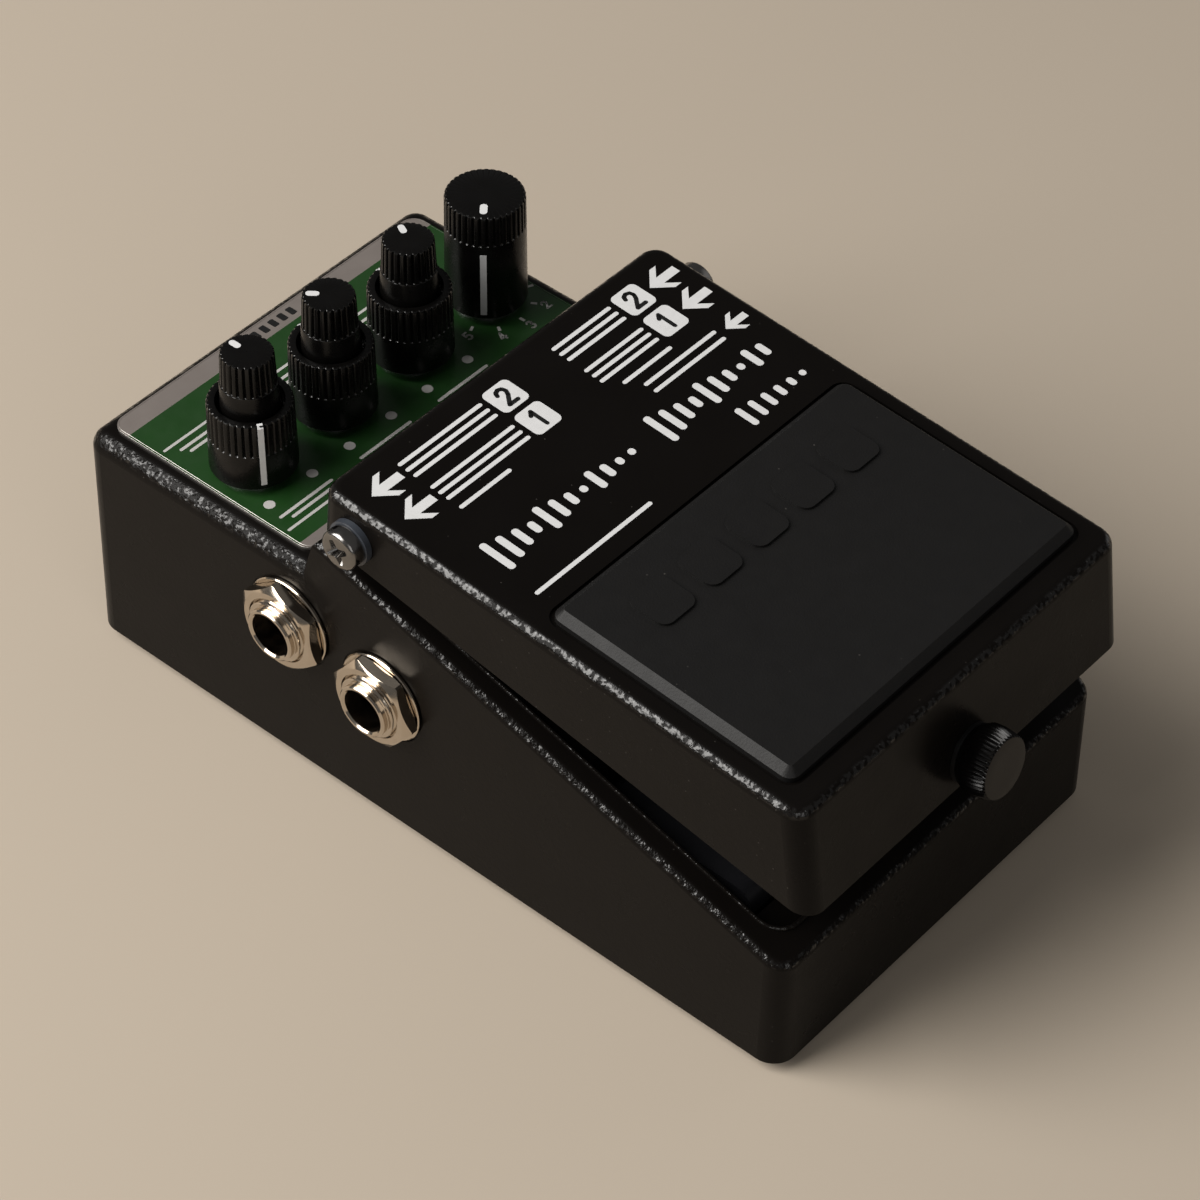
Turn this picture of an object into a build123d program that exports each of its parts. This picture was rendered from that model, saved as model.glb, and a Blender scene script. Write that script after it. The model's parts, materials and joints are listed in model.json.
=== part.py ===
from build123d import *
import os
from math import cos, pi, radians, sin, sqrt, tan

# Tape echo pedal. Millimetres, +Z up, +Y to the rear, +X to the right of the player.
# The origin is on the ground, under the middle of the case.

# Shared values
overrun = 1.0            # how far a cut runs past the face it opens
fit_gap = 0.02           # radial gap of a seated part
run_gap = 0.05           # radial gap of a turning part
part_gap = 0.3           # gap between pieces that move past each other

# Lower case
case_width = 66.5
case_depth = 122.5
case_corner = 3.4
case_draft = 1.0         # degrees
case_wall = 2.2
deck_z = 37.2
deck_wall = 2.4
deck_round = 2.6
deck_length = 41.55      # from the rear wall to the step
step_z = 44.046
step_lean = 1.8          # the step's face leans this far to the front
rim_front_z = 19.9
rim_width = 3.7
rim_round = 1.2
tub_round = 0.5
tub_front_depth = 3.0    # below the rim at the front wall
tub_rear_depth = 5.0     # below the rim at the step
tub_corner = 3.0
tub_rear_gap = 15.7      # from the step to the tub's rear wall
bay_inset = 9.25         # from the front wall to the bay
bay_length = 28.0
bay_side_gap = 0.93
bay_floor_z = 4.4
bay_corner = 1.5
post_radius = 3.2
post_inset = 6.2
post_height = 12.0
post_web = 2.4           # thickness of the web from a post to the side wall
pocket_gap = 0.85        # from the posts to the hollow in front of the bay

# Foot, base plate and screws
foot_thickness = 1.7
foot_inset = 2.6
foot_corner = 2.5
plate_thickness = 1.2
plate_gap = 0.15
sheet_thickness = 0.4
sheet_inset = 9.5
screw_radius = 1.45
screw_length = 9.0
screw_head_radius = 2.7
screw_head_height = 1.3
screw_foot_hole = 3.2

# Control panel
panel_thickness = 0.5
panel_side_margin = 3.45
panel_front_margin = 1.5
panel_rear_margin = 2.95
panel_corner = 2.2
lamp_x = 9.0
lamp_margin = 1.6
lamp_radius = 1.45
lamp_flange_radius = 1.6
lamp_flange = 0.8
lamp_proud = 0.9

# Knobs, shafts and pots
knob_share = 0.2567      # spacing of the knobs, as a share of the panel's width
knob_margin = 20.2       # from the panel's rear edge to the knobs
knob_lift = 1.2          # from the panel to the foot of a knob
bushing_radius = 3.4
bushing_proud = 2.9
pot_nut_flats = 8.4
pot_nut_height = 1.7
pot_washer_radius = 4.7
pot_washer_height = 0.4
pot_width = 11.0
pot_depth = 12.0
pot_height = 8.5
pot_shoulder = 0.8
outer_shaft_radius = 2.6
inner_shaft_radius = 1.55
mode_shaft_radius = 2.9
shaft_flat = 0.5
ring_radius = 6.0
ring_top_radius = 5.8
ring_height = 10.8
ring_flute_height = 5.2
ring_well_radius = 4.6
ring_well_depth = 3.2
ring_edge = 0.5
cap_top_z = 57.8
cap_top_radius = 3.55
cap_radius = 3.75
cap_collar_radius = 4.1
cap_collar_height = 5.8
cap_collar_sink = 2.7    # how deep the collar stands in the ring's well
mode_radius = 5.8
mode_top_radius = 5.6
mode_top_z = 56.3
mode_flute_height = 4.9
nut_well_radius = 5.2
nut_well_depth = 2.0
knob_edge = 0.4
flute_depth = 0.28
shaft_grip = 5.0         # how far a shaft stands in its knob

# Treadle
treadle_side_gap = 0.65  # the treadle is this much narrower on each side
treadle_overhang = 0.25
treadle_front_z = 48.4
treadle_lean = 2.4       # the front wall's lower edge stands this far out
treadle_lip_z = 31.6
treadle_step_gap = 3.64
treadle_tilt = 4.39      # degrees
treadle_rear_low_z = 46.7
treadle_heel = 6.46
treadle_heel_z = 44.3
treadle_wall = 2.2
treadle_corner = 3.0
treadle_rear_corner = 2.8
treadle_rear_lean = 0.7  # the rear wall's lower edge stands this far out
treadle_round = 1.5
treadle_recess = 0.4
notch_gap = 0.5

# Pad
pad_side_margin = 3.6
pad_length = 38.2
pad_front_margin = 4.2   # from the treadle's front edge, along its top
pad_thickness = 1.9
pad_chamfer = 1.1
pad_corner = 1.6
pad_margin = 0.7
grip_count = 5
grip_width = 6.6
grip_depth = 6.6
grip_pitch = 9.2
grip_corner = 1.6
grip_height = 0.35
grip_rise = 10.1         # from the middle of the pad to the row, to the rear

# Hinge
hinge_inset = 5.58       # from the treadle's rear edge
hinge_z = 48.55
lug_radius = 2.75
lug_width = 5.0
lug_half_depth = 4.0
hinge_screw_radius = 1.5
hinge_head_radius = 3.1
hinge_head_height = 2.2
hinge_head_round = 0.7
hinge_slot_width = 0.9
hinge_slot_length = 3.6
hinge_slot_depth = 1.1
washer_radius = 3.25
washer_thickness = 0.9
sleeve_radius = 2.3

# Thumb screw, its insert, washer, bracket and bush
thumb_rise = 3.9         # up the front wall, from its lower edge
thumb_radius = 4.75
thumb_length = 5.4
thumb_edge = 0.4
thumb_flute_depth = 0.3
thumb_shaft_radius = 2.0
thumb_reach = 13.5
thumb_tip = 1.0
thumb_flute_count = 40
thumb_washer_radius = 4.2
thumb_washer_height = 0.6
thumb_boss_radius = 5.2
thumb_boss_length = 2.6
insert_radius = 3.4
bracket_thickness = 1.2
bracket_width = 16.0
bracket_foot = 3.6
bracket_top_z = 36.0
bracket_gap = 2.6        # from the bracket's front to the bay
bush_thickness = 2.4
bush_width = 10.0
bush_low_z = 25.0
bush_slot_low_z = 26.8
bush_slot_width = 4.5

# Return spring and switch
spring_gap_y = 12.0      # from the bay to the spring's middle
spring_radius = 5.0
wire_radius = 0.55
spring_turns = 6
spring_seat_radius = 7.4
floor_lift = 0.1         # how far a seat or guide stands past the sloping floor
spring_base_radius = 7.0
spring_base_height = 2.0
spring_post_radius = 3.9
spring_post_length = 6.5
switch_gap = 3.0         # from the spring's seat to the plunger's guide
plunger_radius = 2.6
plunger_flange_radius = 3.6
plunger_flange = 1.0
plunger_stand = 4.83     # above the tub's floor
plunger_length = 11.8
plunger_travel = 0.8
plunger_boss_radius = 4.6
actuator_radius = 2.4
actuator_base_radius = 4.2
actuator_base_height = 1.6
actuator_gap = 2.1
tact_size = 6.0
tact_height = 3.4
tact_stem_radius = 1.7
tact_stem_height = 1.0
switch_board_width = 16.0
switch_board_depth = 13.0
board_thickness = 1.6

# Battery, snap, leads and foam
battery_room = 7.5       # room for the snap, beside the battery
battery_side_gap = 0.9
battery_height = 17.3
battery_corner = 2.6
terminal_radius = 2.8
terminal_height = 2.4
terminal_pitch = 12.7
battery_gap = 0.8
foam_thickness = 0.8
snap_thickness = 2.2
snap_inset = 1.1
snap_height = 12.4
snap_corner = 3.0
lead_radius = 0.75
lead_low = 0.85          # below the middle of the snap
lead_pitch = 3.4
lead_bend = 1.6
lead_run = 3.8
lead_run_step = 2.7
lead_hole_gap = 0.4

# Boards
main_board_z = 9.0
main_board_gap = 1.13
main_board_front_gap = 0.6
main_board_rear_gap = 1.43
control_board_gap = 1.43
control_board_lead = 8.1  # from the knobs to the board's front edge
control_board_rear_gap = 0.83
header_length = 22.0
header_depth = 2.5
header_inset = 1.5
board_screw_radius = 1.2
board_screw_head_radius = 2.2
board_screw_head_height = 1.4
board_screw_length = 7.5
board_post_radius = 2.3
board_post_inset = 3.8
chip_width = 14.0
chip_height = 1.6
chip_gap = 6.0           # from the spring's middle to the chip
can_radius = 3.2
can_height = 6.5
can_gap = 8.5            # from the header to the cans
can_pitch = 9.0

# Jacks and DC inlet
jack_step_gap = 2.97     # from the step to the rear jacks
jack_rear_z = 26.5
jack_bay_gap = 13.71     # from the bay to the front jack
jack_drop = 3.02         # the next jack to the front sits this much lower
right_jack_count = 3
left_jack_count = 2
jack_bore = 3.2
jack_lip_radius = 3.95
jack_lip = 0.9
jack_thread_radius = 4.65
jack_proud = 4.25
jack_nut_flats = 12.2
jack_nut_height = 2.1
jack_nut_edge = 0.5
jack_washer_radius = 6.8
jack_washer_height = 0.7
jack_body_size = 11.0
jack_body_length = 22.0
jack_hole = 4.75
jack_land = 0.05         # depth of the washer's flat spot in the drafted wall, at its top
inlet_z = 18.0
inlet_width = 9.0
inlet_height = 10.5
inlet_length = 13.0
inlet_bore = 3.15
inlet_bore_depth = 9.5
inlet_nose_radius = 4.6
inlet_pin_radius = 1.0
inlet_pin_length = 8.5

# Values that follow from those above
half_width = case_width / 2
half_depth = case_depth / 2
step_y = half_depth - deck_length
rim_rise = (step_z - rim_front_z) / (step_y + half_depth)
tub_front_z = rim_front_z - tub_front_depth
tub_rise = (step_z - tub_rear_depth - tub_front_z) / (step_y + half_depth)
draft_inset = (deck_z - foot_thickness) * tan(radians(case_draft))
inner_half_width = half_width - case_wall - draft_inset
inner_half_depth = half_depth - case_wall - draft_inset
plate_top_z = foot_thickness + plate_thickness
panel_top_z = deck_z + panel_thickness
deck_under_z = deck_z - deck_wall
knob_foot_z = panel_top_z + knob_lift
pot_top_z = deck_under_z
control_board_z = deck_under_z - pot_height - board_thickness
panel_half_width = half_width - panel_side_margin
panel_front_y = step_y + panel_front_margin
panel_rear_y = half_depth - panel_rear_margin
lamp_y = panel_rear_y - lamp_margin
knob_pitch = 2 * panel_half_width * knob_share
knob_y = panel_rear_y - knob_margin
treadle_width = case_width - 2 * treadle_side_gap
treadle_half = treadle_width / 2
treadle_front_y = -half_depth - treadle_overhang
treadle_lip_y = treadle_front_y - treadle_lean
treadle_rear_y = step_y - treadle_step_gap
treadle_heel_y = treadle_rear_y - treadle_heel
pad_width = treadle_width - 2 * pad_side_margin
hinge_y = treadle_rear_y - hinge_inset
tilt_rise = tan(radians(treadle_tilt))
treadle_rear_z = treadle_front_z + (treadle_rear_y - treadle_front_y) * tilt_rise
bay_front_y = bay_inset - half_depth
bay_rear_y = bay_front_y + bay_length
bracket_y = bay_front_y - bracket_gap
tub_rear_y = step_y - tub_rear_gap
tub_half_width = half_width - draft_inset - rim_width
tub_front_y = -half_depth + draft_inset + rim_width
bay_half_width = tub_half_width - bay_side_gap
pocket_half_width = half_width - post_inset - post_radius - pocket_gap
battery_left_x = battery_gap - bay_half_width
battery_depth = bay_length - 2 * battery_side_gap
snap_depth = battery_depth - 2 * snap_inset
battery_length = 2 * bay_half_width - battery_room
spring_y = bay_rear_y + spring_gap_y
switch_x = -spring_seat_radius - plunger_boss_radius - switch_gap
switch_y = spring_y
main_board_half_width = inner_half_width - main_board_gap
main_board_front_y = bay_rear_y + case_wall + main_board_front_gap
main_board_rear_y = inner_half_depth - main_board_rear_gap
control_board_half_width = inner_half_width - control_board_gap
control_board_front_y = knob_y - control_board_lead
control_board_rear_y = inner_half_depth - control_board_rear_gap
header_y = control_board_front_y + header_inset
can_y = header_y + can_gap
chip_y = spring_y + chip_gap
jack_rear_y = step_y + jack_step_gap
jack_pitch = (jack_rear_y - bay_rear_y - jack_bay_gap) / (right_jack_count - 1)
board_post_x = main_board_half_width - board_post_inset
board_post_rear_y = jack_rear_y - jack_pitch / 2
board_post_front_y = board_post_rear_y - jack_pitch
knob_places = [(i - 1.5) * knob_pitch for i in range(4)]
knob_names = ["left", "middle", "right"]


# Height of the sloping rim at a depth
def rim_z(y):
    return rim_front_z + (y + half_depth) * rim_rise


# Height of the tub's floor
def tub_z(y):
    return tub_front_z + (y + half_depth) * tub_rise


# Height of the treadle's top at a depth
def treadle_top(y):
    return treadle_front_z + (y - treadle_front_y) * tilt_rise


# Height of the treadle's ceiling at a depth
def treadle_ceiling(y):
    return treadle_top(y) - treadle_wall / cos(radians(treadle_tilt))


spring_seat_z = tub_z(spring_y + spring_seat_radius) + floor_lift
plunger_top_z = tub_z(switch_y) + plunger_stand
plunger_low_z = plunger_top_z - plunger_length


# Upright cylinder that stands on z
def upright(radius, height, x, y, z):
    low = (Align.CENTER, Align.CENTER, Align.MIN)
    return Pos(x, y, z) * Cylinder(radius, height, align=low)


# Cylinder along X, from x to larger x
def along_x(radius, length, x, y, z):
    low = (Align.CENTER, Align.CENTER, Align.MIN)
    return Pos(x, y, z) * Rot(0, 90, 0) * Cylinder(radius, length, align=low)


# Cylinder along Y, from y to larger y
def along_y(radius, length, x, y, z):
    low = (Align.CENTER, Align.CENTER, Align.MIN)
    return Pos(x, y, z) * Rot(-90, 0, 0) * Cylinder(radius, length, align=low)


# Box between two corners
def block(x0, y0, z0, x1, y1, z1):
    middle = Pos((x0 + x1) / 2, (y0 + y1) / 2, (z0 + z1) / 2)
    return middle * Box(x1 - x0, y1 - y0, z1 - z0)


# Prism of a side outline, in (y, z) points, from x0 to x1
def side_prism(points, x0, x1):
    face = make_face(Polyline(*[(x0, y, z) for y, z in points], close=True))
    return extrude(face, amount=x1 - x0, dir=(1, 0, 0))


# Upright block with rounded corners, between two corners
def rounded_block(x0, y0, z0, x1, y1, z1, corner):
    outline = RectangleRounded(x1 - x0, y1 - y0, corner)
    return extrude(Pos((x0 + x1) / 2, (y0 + y1) / 2, z0) * outline, amount=z1 - z0)


# Round solid about Z, from (radius, height) points
def turned(points, x=0, y=0):
    face = make_face(Polyline(*[(r, 0, z) for r, z in points], close=True))
    return Pos(x, y, 0) * revolve(face, Axis.Z)


# Places of the jacks: side, depth and height
def jack_places(side, count):
    steps = range(count)
    return [(side, jack_rear_y - i * jack_pitch, jack_rear_z - i * jack_drop) for i in steps]


left_jacks = jack_places(-1, left_jack_count)
right_jacks = jack_places(1, right_jack_count)
all_jacks = left_jacks + right_jacks
land_rise = jack_rear_z + jack_washer_radius - foot_thickness
land_x = half_width - land_rise * tan(radians(case_draft)) - jack_land


# Outer block of the case: a drafted prism with rounded corners
def case_block(top_z):
    inset = (top_z - foot_thickness) * tan(radians(case_draft))
    low = Pos(0, 0, foot_thickness) * RectangleRounded(case_width, case_depth, case_corner)
    top_outline = RectangleRounded(case_width - 2 * inset, case_depth - 2 * inset, case_corner - inset)
    return loft([low, Pos(0, 0, top_z) * top_outline], ruled=True)


# Rear half of the case, with the flat deck and its rounded edges
def case_rear():
    reach = case_depth
    body = case_block(deck_z) & block(-reach, step_y, 0, reach, reach, reach)
    deck = body.faces().sort_by(Axis.Z)[-1]
    edges = [e for e in deck.edges() if e.center().Y > step_y + overrun]
    return fillet(edges, deck_round)


# Front half of the case, under the sloping rim
def case_front():
    top_y = step_y - step_lean
    far_y = -case_depth
    outline = [(far_y, 0), (step_y, 0), (step_y, deck_z), (top_y, rim_z(top_y)), (far_y, rim_z(far_y))]
    body = case_block(step_z) & side_prism(outline, -case_width, case_width)
    upward = body.faces().filter_by(lambda face: face.normal_at().Z > abs(face.normal_at().Y))
    return fillet(upward.sort_by(SortBy.AREA)[-1].edges(), rim_round)


# Hollow under the deck and the tub, open below
def case_cavity():
    low_y = bay_rear_y + case_wall
    bend_y = (deck_under_z + case_wall - tub_front_z) / tub_rise - half_depth
    outline = [
        (low_y, 0),
        (inner_half_depth, 0),
        (inner_half_depth, deck_under_z),
        (bend_y, deck_under_z),
        (low_y, tub_z(low_y) - case_wall),
    ]
    return side_prism(outline, -inner_half_width, inner_half_width)


# Open tub under the treadle, with a floor that follows the rim
def case_tub():
    outer = rounded_block(
        -tub_half_width, tub_front_y, 0, tub_half_width, tub_rear_y, case_depth, tub_corner
    )
    far = case_depth
    outline = [
        (-far, tub_z(-far)),
        (far, tub_z(far)),
        (far, tub_z(far) + far),
        (-far, tub_z(far) + far),
    ]
    return outer & side_prism(outline, -case_width, case_width)


# Edges where the tub opens in the sloping rim
def is_tub_mouth(edge):
    ends = [edge @ 0, edge @ (1 / 2), edge @ 1]
    inside = all(abs(p.X) < tub_half_width + overrun and p.Y < tub_rear_y + overrun for p in ends)
    return inside and all(abs(p.Z - rim_z(p.Y)) < overrun and p.Y > tub_front_y - overrun for p in ends)


# Battery bay, sunk into the front of the tub
def case_bay():
    return rounded_block(
        -bay_half_width, bay_front_y, bay_floor_z, bay_half_width, bay_rear_y, case_depth, bay_corner
    )


# Places of the base screws
def base_screw_places():
    x = half_width - post_inset
    y = half_depth - post_inset
    return [(sx * x, sy * y) for sx in (-1, 1) for sy in (-1, 1)]


# Places of the screws of the main board
def board_screw_places():
    return [(sx * board_post_x, y) for sx in (-1, 1) for y in (board_post_front_y, board_post_rear_y)]


# Hinge lugs that stand on the case, inside the treadle
def hinge_lug(side):
    inner = treadle_half - treadle_wall - part_gap
    x0 = min(side * inner, side * (inner - lug_width))
    foot_z = tub_z(hinge_y)
    slope = [
        (hinge_y - lug_half_depth, foot_z),
        (hinge_y + lug_radius, foot_z),
        (hinge_y + lug_radius, hinge_z),
        (hinge_y - lug_radius, hinge_z),
    ]
    stem = side_prism(slope, x0, x0 + lug_width)
    return stem + along_x(lug_radius, lug_width, x0, hinge_y, hinge_z)


def lower_case():
    body = case_rear() + case_front() - case_tub()
    mouth = [e for e in body.edges() if is_tub_mouth(e)]
    body = fillet(mouth, tub_round)
    body -= case_bay()
    body -= case_cavity()
    plate_half_x = inner_half_width + plate_gap
    plate_half_y = inner_half_depth + plate_gap
    body -= block(-plate_half_x, -plate_half_y, 0, plate_half_x, plate_half_y, plate_top_z)
    for x, y in base_screw_places():
        body += upright(post_radius, post_height, x, y, plate_top_z)
        wall_x = inner_half_width + case_wall / 2
        web_y = y - post_web / 2
        x0, x1 = sorted((x, wall_x if x > 0 else -wall_x))
        body += block(x0, web_y, plate_top_z, x1, web_y + post_web, plate_top_z + post_height)
    for x, y in base_screw_places():
        body -= upright(screw_radius + run_gap, screw_length, x, y, plate_top_z)
    for x, y in board_screw_places():
        post_z = main_board_z + board_thickness
        ceiling = min(deck_under_z, tub_z(y) - case_wall)
        body += upright(board_post_radius, ceiling - post_z + overrun, x, y, post_z)
        body -= upright(board_screw_radius + run_gap, board_screw_length, x, y, post_z - overrun)
    for side in (-1, 1):
        body += hinge_lug(side)
    body -= along_x(hinge_screw_radius + run_gap, case_width, -half_width, hinge_y, hinge_z)
    for x in knob_places:
        body -= upright(bushing_radius + run_gap, deck_wall * 3, x, knob_y, deck_under_z - deck_wall)
    body -= upright(lamp_radius + run_gap, deck_wall * 3, lamp_x, lamp_y, deck_under_z - deck_wall)
    for side, y, z in all_jacks:
        x0 = min(side * inner_half_width, side * (half_width + overrun)) - overrun
        body -= along_x(jack_hole, case_wall * 3, x0, y, z)
        land = jack_washer_radius + part_gap
        x1 = min(side * land_x, side * half_width)
        body -= along_x(land, half_width - land_x, x1, y, z)
    body -= along_y(inlet_nose_radius + run_gap, case_wall * 3, 0, inner_half_depth - case_wall, inlet_z)
    body += spring_seat()
    body += plunger_boss()
    body -= plunger_hole()
    for z, run in lead_places():
        body -= along_y(lead_radius + lead_hole_gap, case_wall * 3, lead_x(), bay_rear_y - case_wall, z)
    pocket_y = bay_front_y - case_wall
    pocket_z = tub_front_z - case_wall
    body -= block(-pocket_half_width, -inner_half_depth, 0, pocket_half_width, pocket_y, pocket_z)
    return body


# Flat seat for the foot of the spring, on the tub's sloping floor
def spring_seat():
    low_z = tub_z(spring_y - spring_seat_radius) - case_wall / 2
    return upright(spring_seat_radius, spring_seat_z - low_z, 0, spring_y, low_z)


# Guide of the switch plunger, through the tub's floor
def plunger_boss():
    low_z = tub_z(switch_y - plunger_boss_radius) - case_wall - floor_lift
    top_z = tub_z(switch_y + plunger_boss_radius) + floor_lift
    return upright(plunger_boss_radius, top_z - low_z, switch_x, switch_y, low_z)


def plunger_hole():
    return upright(plunger_radius + run_gap, deck_z, switch_x, switch_y, plunger_low_z)


def base_plate():
    half_x = inner_half_width
    half_y = inner_half_depth
    body = rounded_block(-half_x, -half_y, foot_thickness, half_x, half_y, plate_top_z, foot_corner)
    for x, y in base_screw_places():
        body -= upright(screw_radius + run_gap, plate_thickness + 2 * overrun, x, y, foot_thickness - overrun)
    return body


def base_rubber():
    half_x = half_width - foot_inset
    half_y = half_depth - foot_inset
    body = rounded_block(-half_x, -half_y, 0, half_x, half_y, foot_thickness, foot_corner)
    for x, y in base_screw_places():
        body -= upright(screw_foot_hole, foot_thickness + 2 * overrun, x, y, -overrun)
    return body


def base_screws():
    solids = []
    for x, y in base_screw_places():
        head = upright(screw_head_radius, screw_head_height, x, y, foot_thickness - screw_head_height)
        solids.append(head + upright(screw_radius, screw_length, x, y, foot_thickness))
    return solids


def insulation_sheet():
    half_x = inner_half_width - sheet_inset
    y0 = bay_rear_y + case_wall + part_gap
    y1 = inner_half_depth - sheet_inset
    return rounded_block(-half_x, y0, plate_top_z, half_x, y1, plate_top_z + sheet_thickness, foot_corner)


def control_panel():
    body = rounded_block(
        -panel_half_width, panel_front_y, deck_z, panel_half_width, panel_rear_y, panel_top_z, panel_corner
    )
    for x in knob_places:
        body -= upright(bushing_radius + run_gap, panel_thickness * 3, x, knob_y, deck_z - panel_thickness)
    body -= upright(lamp_radius + run_gap, panel_thickness * 3, lamp_x, lamp_y, deck_z - panel_thickness)
    return body


def lamp():
    flange_z = deck_under_z - lamp_flange
    top_z = panel_top_z + lamp_proud
    stem = upright(lamp_radius, top_z - lamp_radius - flange_z, lamp_x, lamp_y, flange_z)
    dome = Pos(lamp_x, lamp_y, top_z - lamp_radius) * Sphere(lamp_radius)
    flange = upright(lamp_flange_radius, lamp_flange, lamp_x, lamp_y, flange_z)
    legs_z = control_board_z + board_thickness
    leg = upright(lamp_radius / 3, flange_z - legs_z, lamp_x, lamp_y, legs_z)
    return stem + dome + flange + leg


# Pot or switch body with its threaded bushing, bored for its shaft
def pot_body(x, shaft_radius):
    low_z = pot_top_z - pot_height
    body = rounded_block(
        x - pot_width / 2, knob_y - pot_depth / 2, low_z, x + pot_width / 2, knob_y + pot_depth / 2,
        pot_top_z, pot_shoulder
    )
    neck = bushing_radius
    body += upright(neck, deck_wall + panel_thickness + bushing_proud, x, knob_y, pot_top_z)
    return body - upright(shaft_radius + run_gap, deck_z, x, knob_y, low_z + pot_shoulder)


def pot_washers():
    height = pot_washer_height
    return [
        upright(pot_washer_radius, height, x, knob_y, panel_top_z)
        - upright(bushing_radius + run_gap, height, x, knob_y, panel_top_z)
        for x in knob_places
    ]


def pot_nuts():
    low_z = panel_top_z + pot_washer_height
    nut = extrude(RegularPolygon(pot_nut_flats / 2, 6, major_radius=False), amount=pot_nut_height)
    hole = bushing_radius + run_gap
    return [
        Pos(x, knob_y, low_z) * nut - upright(hole, pot_nut_height, x, knob_y, low_z) for x in knob_places
    ]


# Row of upright V grooves round a knob
def flutes(radius, count, low_z, height, depth):
    side = depth * sqrt(2)
    low = (Align.CENTER, Align.CENTER, Align.MIN)
    groove = Rot(0, 0, 45) * Box(side, side, height, align=low)
    return [Rot(0, 0, i * 360 / count) * Pos(radius, 0, low_z) * groove for i in range(count)]


ring_top_z = knob_foot_z + ring_height
ring_flute_count = 36
cap_flute_count = 24
shaft_low_z = pot_top_z - pot_height + pot_shoulder + part_gap


# Lower knob of a pair: a skirted ring, fluted above, with a well for the cap's collar
def ring_knob(x):
    well_z = ring_top_z - ring_well_depth
    body = turned([
        (0, knob_foot_z),
        (ring_radius, knob_foot_z),
        (ring_top_radius, ring_top_z - ring_edge),
        (ring_top_radius - ring_edge, ring_top_z),
        (ring_well_radius, ring_top_z),
        (ring_well_radius, well_z),
        (0, well_z),
    ])
    flute_z = ring_top_z - ring_flute_height
    body -= flutes(ring_top_radius + knob_edge / 8, ring_flute_count, flute_z, ring_flute_height, flute_depth)
    body -= upright(nut_well_radius, nut_well_depth, 0, 0, knob_foot_z)
    body -= upright(outer_shaft_radius + fit_gap, ring_height, 0, 0, knob_foot_z)
    return Pos(x, knob_y, 0) * body


# Upper knob of a pair: a small fluted cap on a smooth collar
def cap_knob(x):
    foot_z = ring_top_z - cap_collar_sink
    collar_z = foot_z + cap_collar_height
    body = turned([
        (0, foot_z),
        (cap_collar_radius, foot_z),
        (cap_radius, collar_z),
        (cap_top_radius, cap_top_z - knob_edge),
        (cap_top_radius - knob_edge, cap_top_z),
        (0, cap_top_z),
    ])
    height = cap_top_z - collar_z
    body -= flutes(cap_top_radius + knob_edge / 3, cap_flute_count, collar_z, height, flute_depth)
    body -= upright(inner_shaft_radius + fit_gap, shaft_grip + part_gap, 0, 0, foot_z)
    return Pos(x, knob_y, 0) * body


# Hollow shaft of a ring knob
def outer_shaft(x):
    top_z = ring_top_z - ring_well_depth
    tube = upright(outer_shaft_radius, top_z - shaft_low_z, x, knob_y, shaft_low_z)
    return tube - upright(inner_shaft_radius + run_gap, deck_z, x, knob_y, shaft_low_z)


# Solid shaft of a cap knob, inside the hollow one
def inner_shaft(x):
    top_z = ring_top_z - cap_collar_sink + shaft_grip
    return upright(inner_shaft_radius, top_z - shaft_low_z, x, knob_y, shaft_low_z)


# Tall knob of the mode switch
def mode_knob(x):
    body = turned([
        (0, knob_foot_z),
        (mode_radius, knob_foot_z),
        (mode_top_radius, mode_top_z - knob_edge),
        (mode_top_radius - knob_edge, mode_top_z),
        (0, mode_top_z),
    ])
    flute_z = mode_top_z - mode_flute_height
    body -= flutes(mode_top_radius + knob_edge / 8, ring_flute_count, flute_z, mode_flute_height, flute_depth)
    body -= upright(nut_well_radius, nut_well_depth, 0, 0, knob_foot_z)
    body -= upright(mode_shaft_radius + fit_gap, nut_well_depth + shaft_grip, 0, 0, knob_foot_z)
    return Pos(x, knob_y, 0) * body


def mode_shaft(x):
    top_z = knob_foot_z + nut_well_depth + shaft_grip - part_gap
    return upright(mode_shaft_radius, top_z - shaft_low_z, x, knob_y, shaft_low_z)


# Side outline of the treadle, moved in by a wall on every side but the lower one
def treadle_outline():
    return [
        (treadle_lip_y, treadle_lip_z),
        (treadle_heel_y, treadle_heel_z),
        (treadle_rear_y + treadle_rear_lean, treadle_rear_low_z),
        (treadle_rear_y, treadle_rear_z),
        (treadle_front_y, treadle_front_z),
    ]


def treadle_hollow():
    inner_rear = treadle_rear_y - treadle_wall
    front_top = treadle_front_y + treadle_wall
    front_low = treadle_lip_y + treadle_wall
    lean = (treadle_lip_y - treadle_front_y) / (treadle_front_z - treadle_lip_z)
    outline = [
        (front_low + lean * overrun, treadle_lip_z - overrun),
        (inner_rear, treadle_lip_z - overrun),
        (inner_rear, treadle_ceiling(inner_rear)),
        (front_top, treadle_ceiling(front_top)),
    ]
    half = treadle_half - treadle_wall
    return side_prism(outline, -half, half)


# Plane of the treadle's front wall at the thumb screw: Z runs out of the wall
def thumb_plane():
    run_y = treadle_front_y - treadle_lip_y
    run_z = treadle_front_z - treadle_lip_z
    length = sqrt(run_y ** 2 + run_z ** 2)
    up = (0, run_y / length, run_z / length)
    seat = (0, treadle_lip_y + up[1] * thumb_rise, treadle_lip_z + up[2] * thumb_rise)
    return Plane(origin=seat, x_dir=(1, 0, 0), z_dir=(0, -up[2], up[1]))


# Plane on the treadle's top, at the middle of the pad: Z runs out of the top
def pad_plane():
    tilt = radians(treadle_tilt)
    run = pad_front_margin + pad_length / 2
    middle = (0, treadle_front_y + run * cos(tilt), treadle_front_z + run * sin(tilt))
    return Plane(origin=middle, x_dir=(1, 0, 0), z_dir=(0, -sin(tilt), cos(tilt)))


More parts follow.
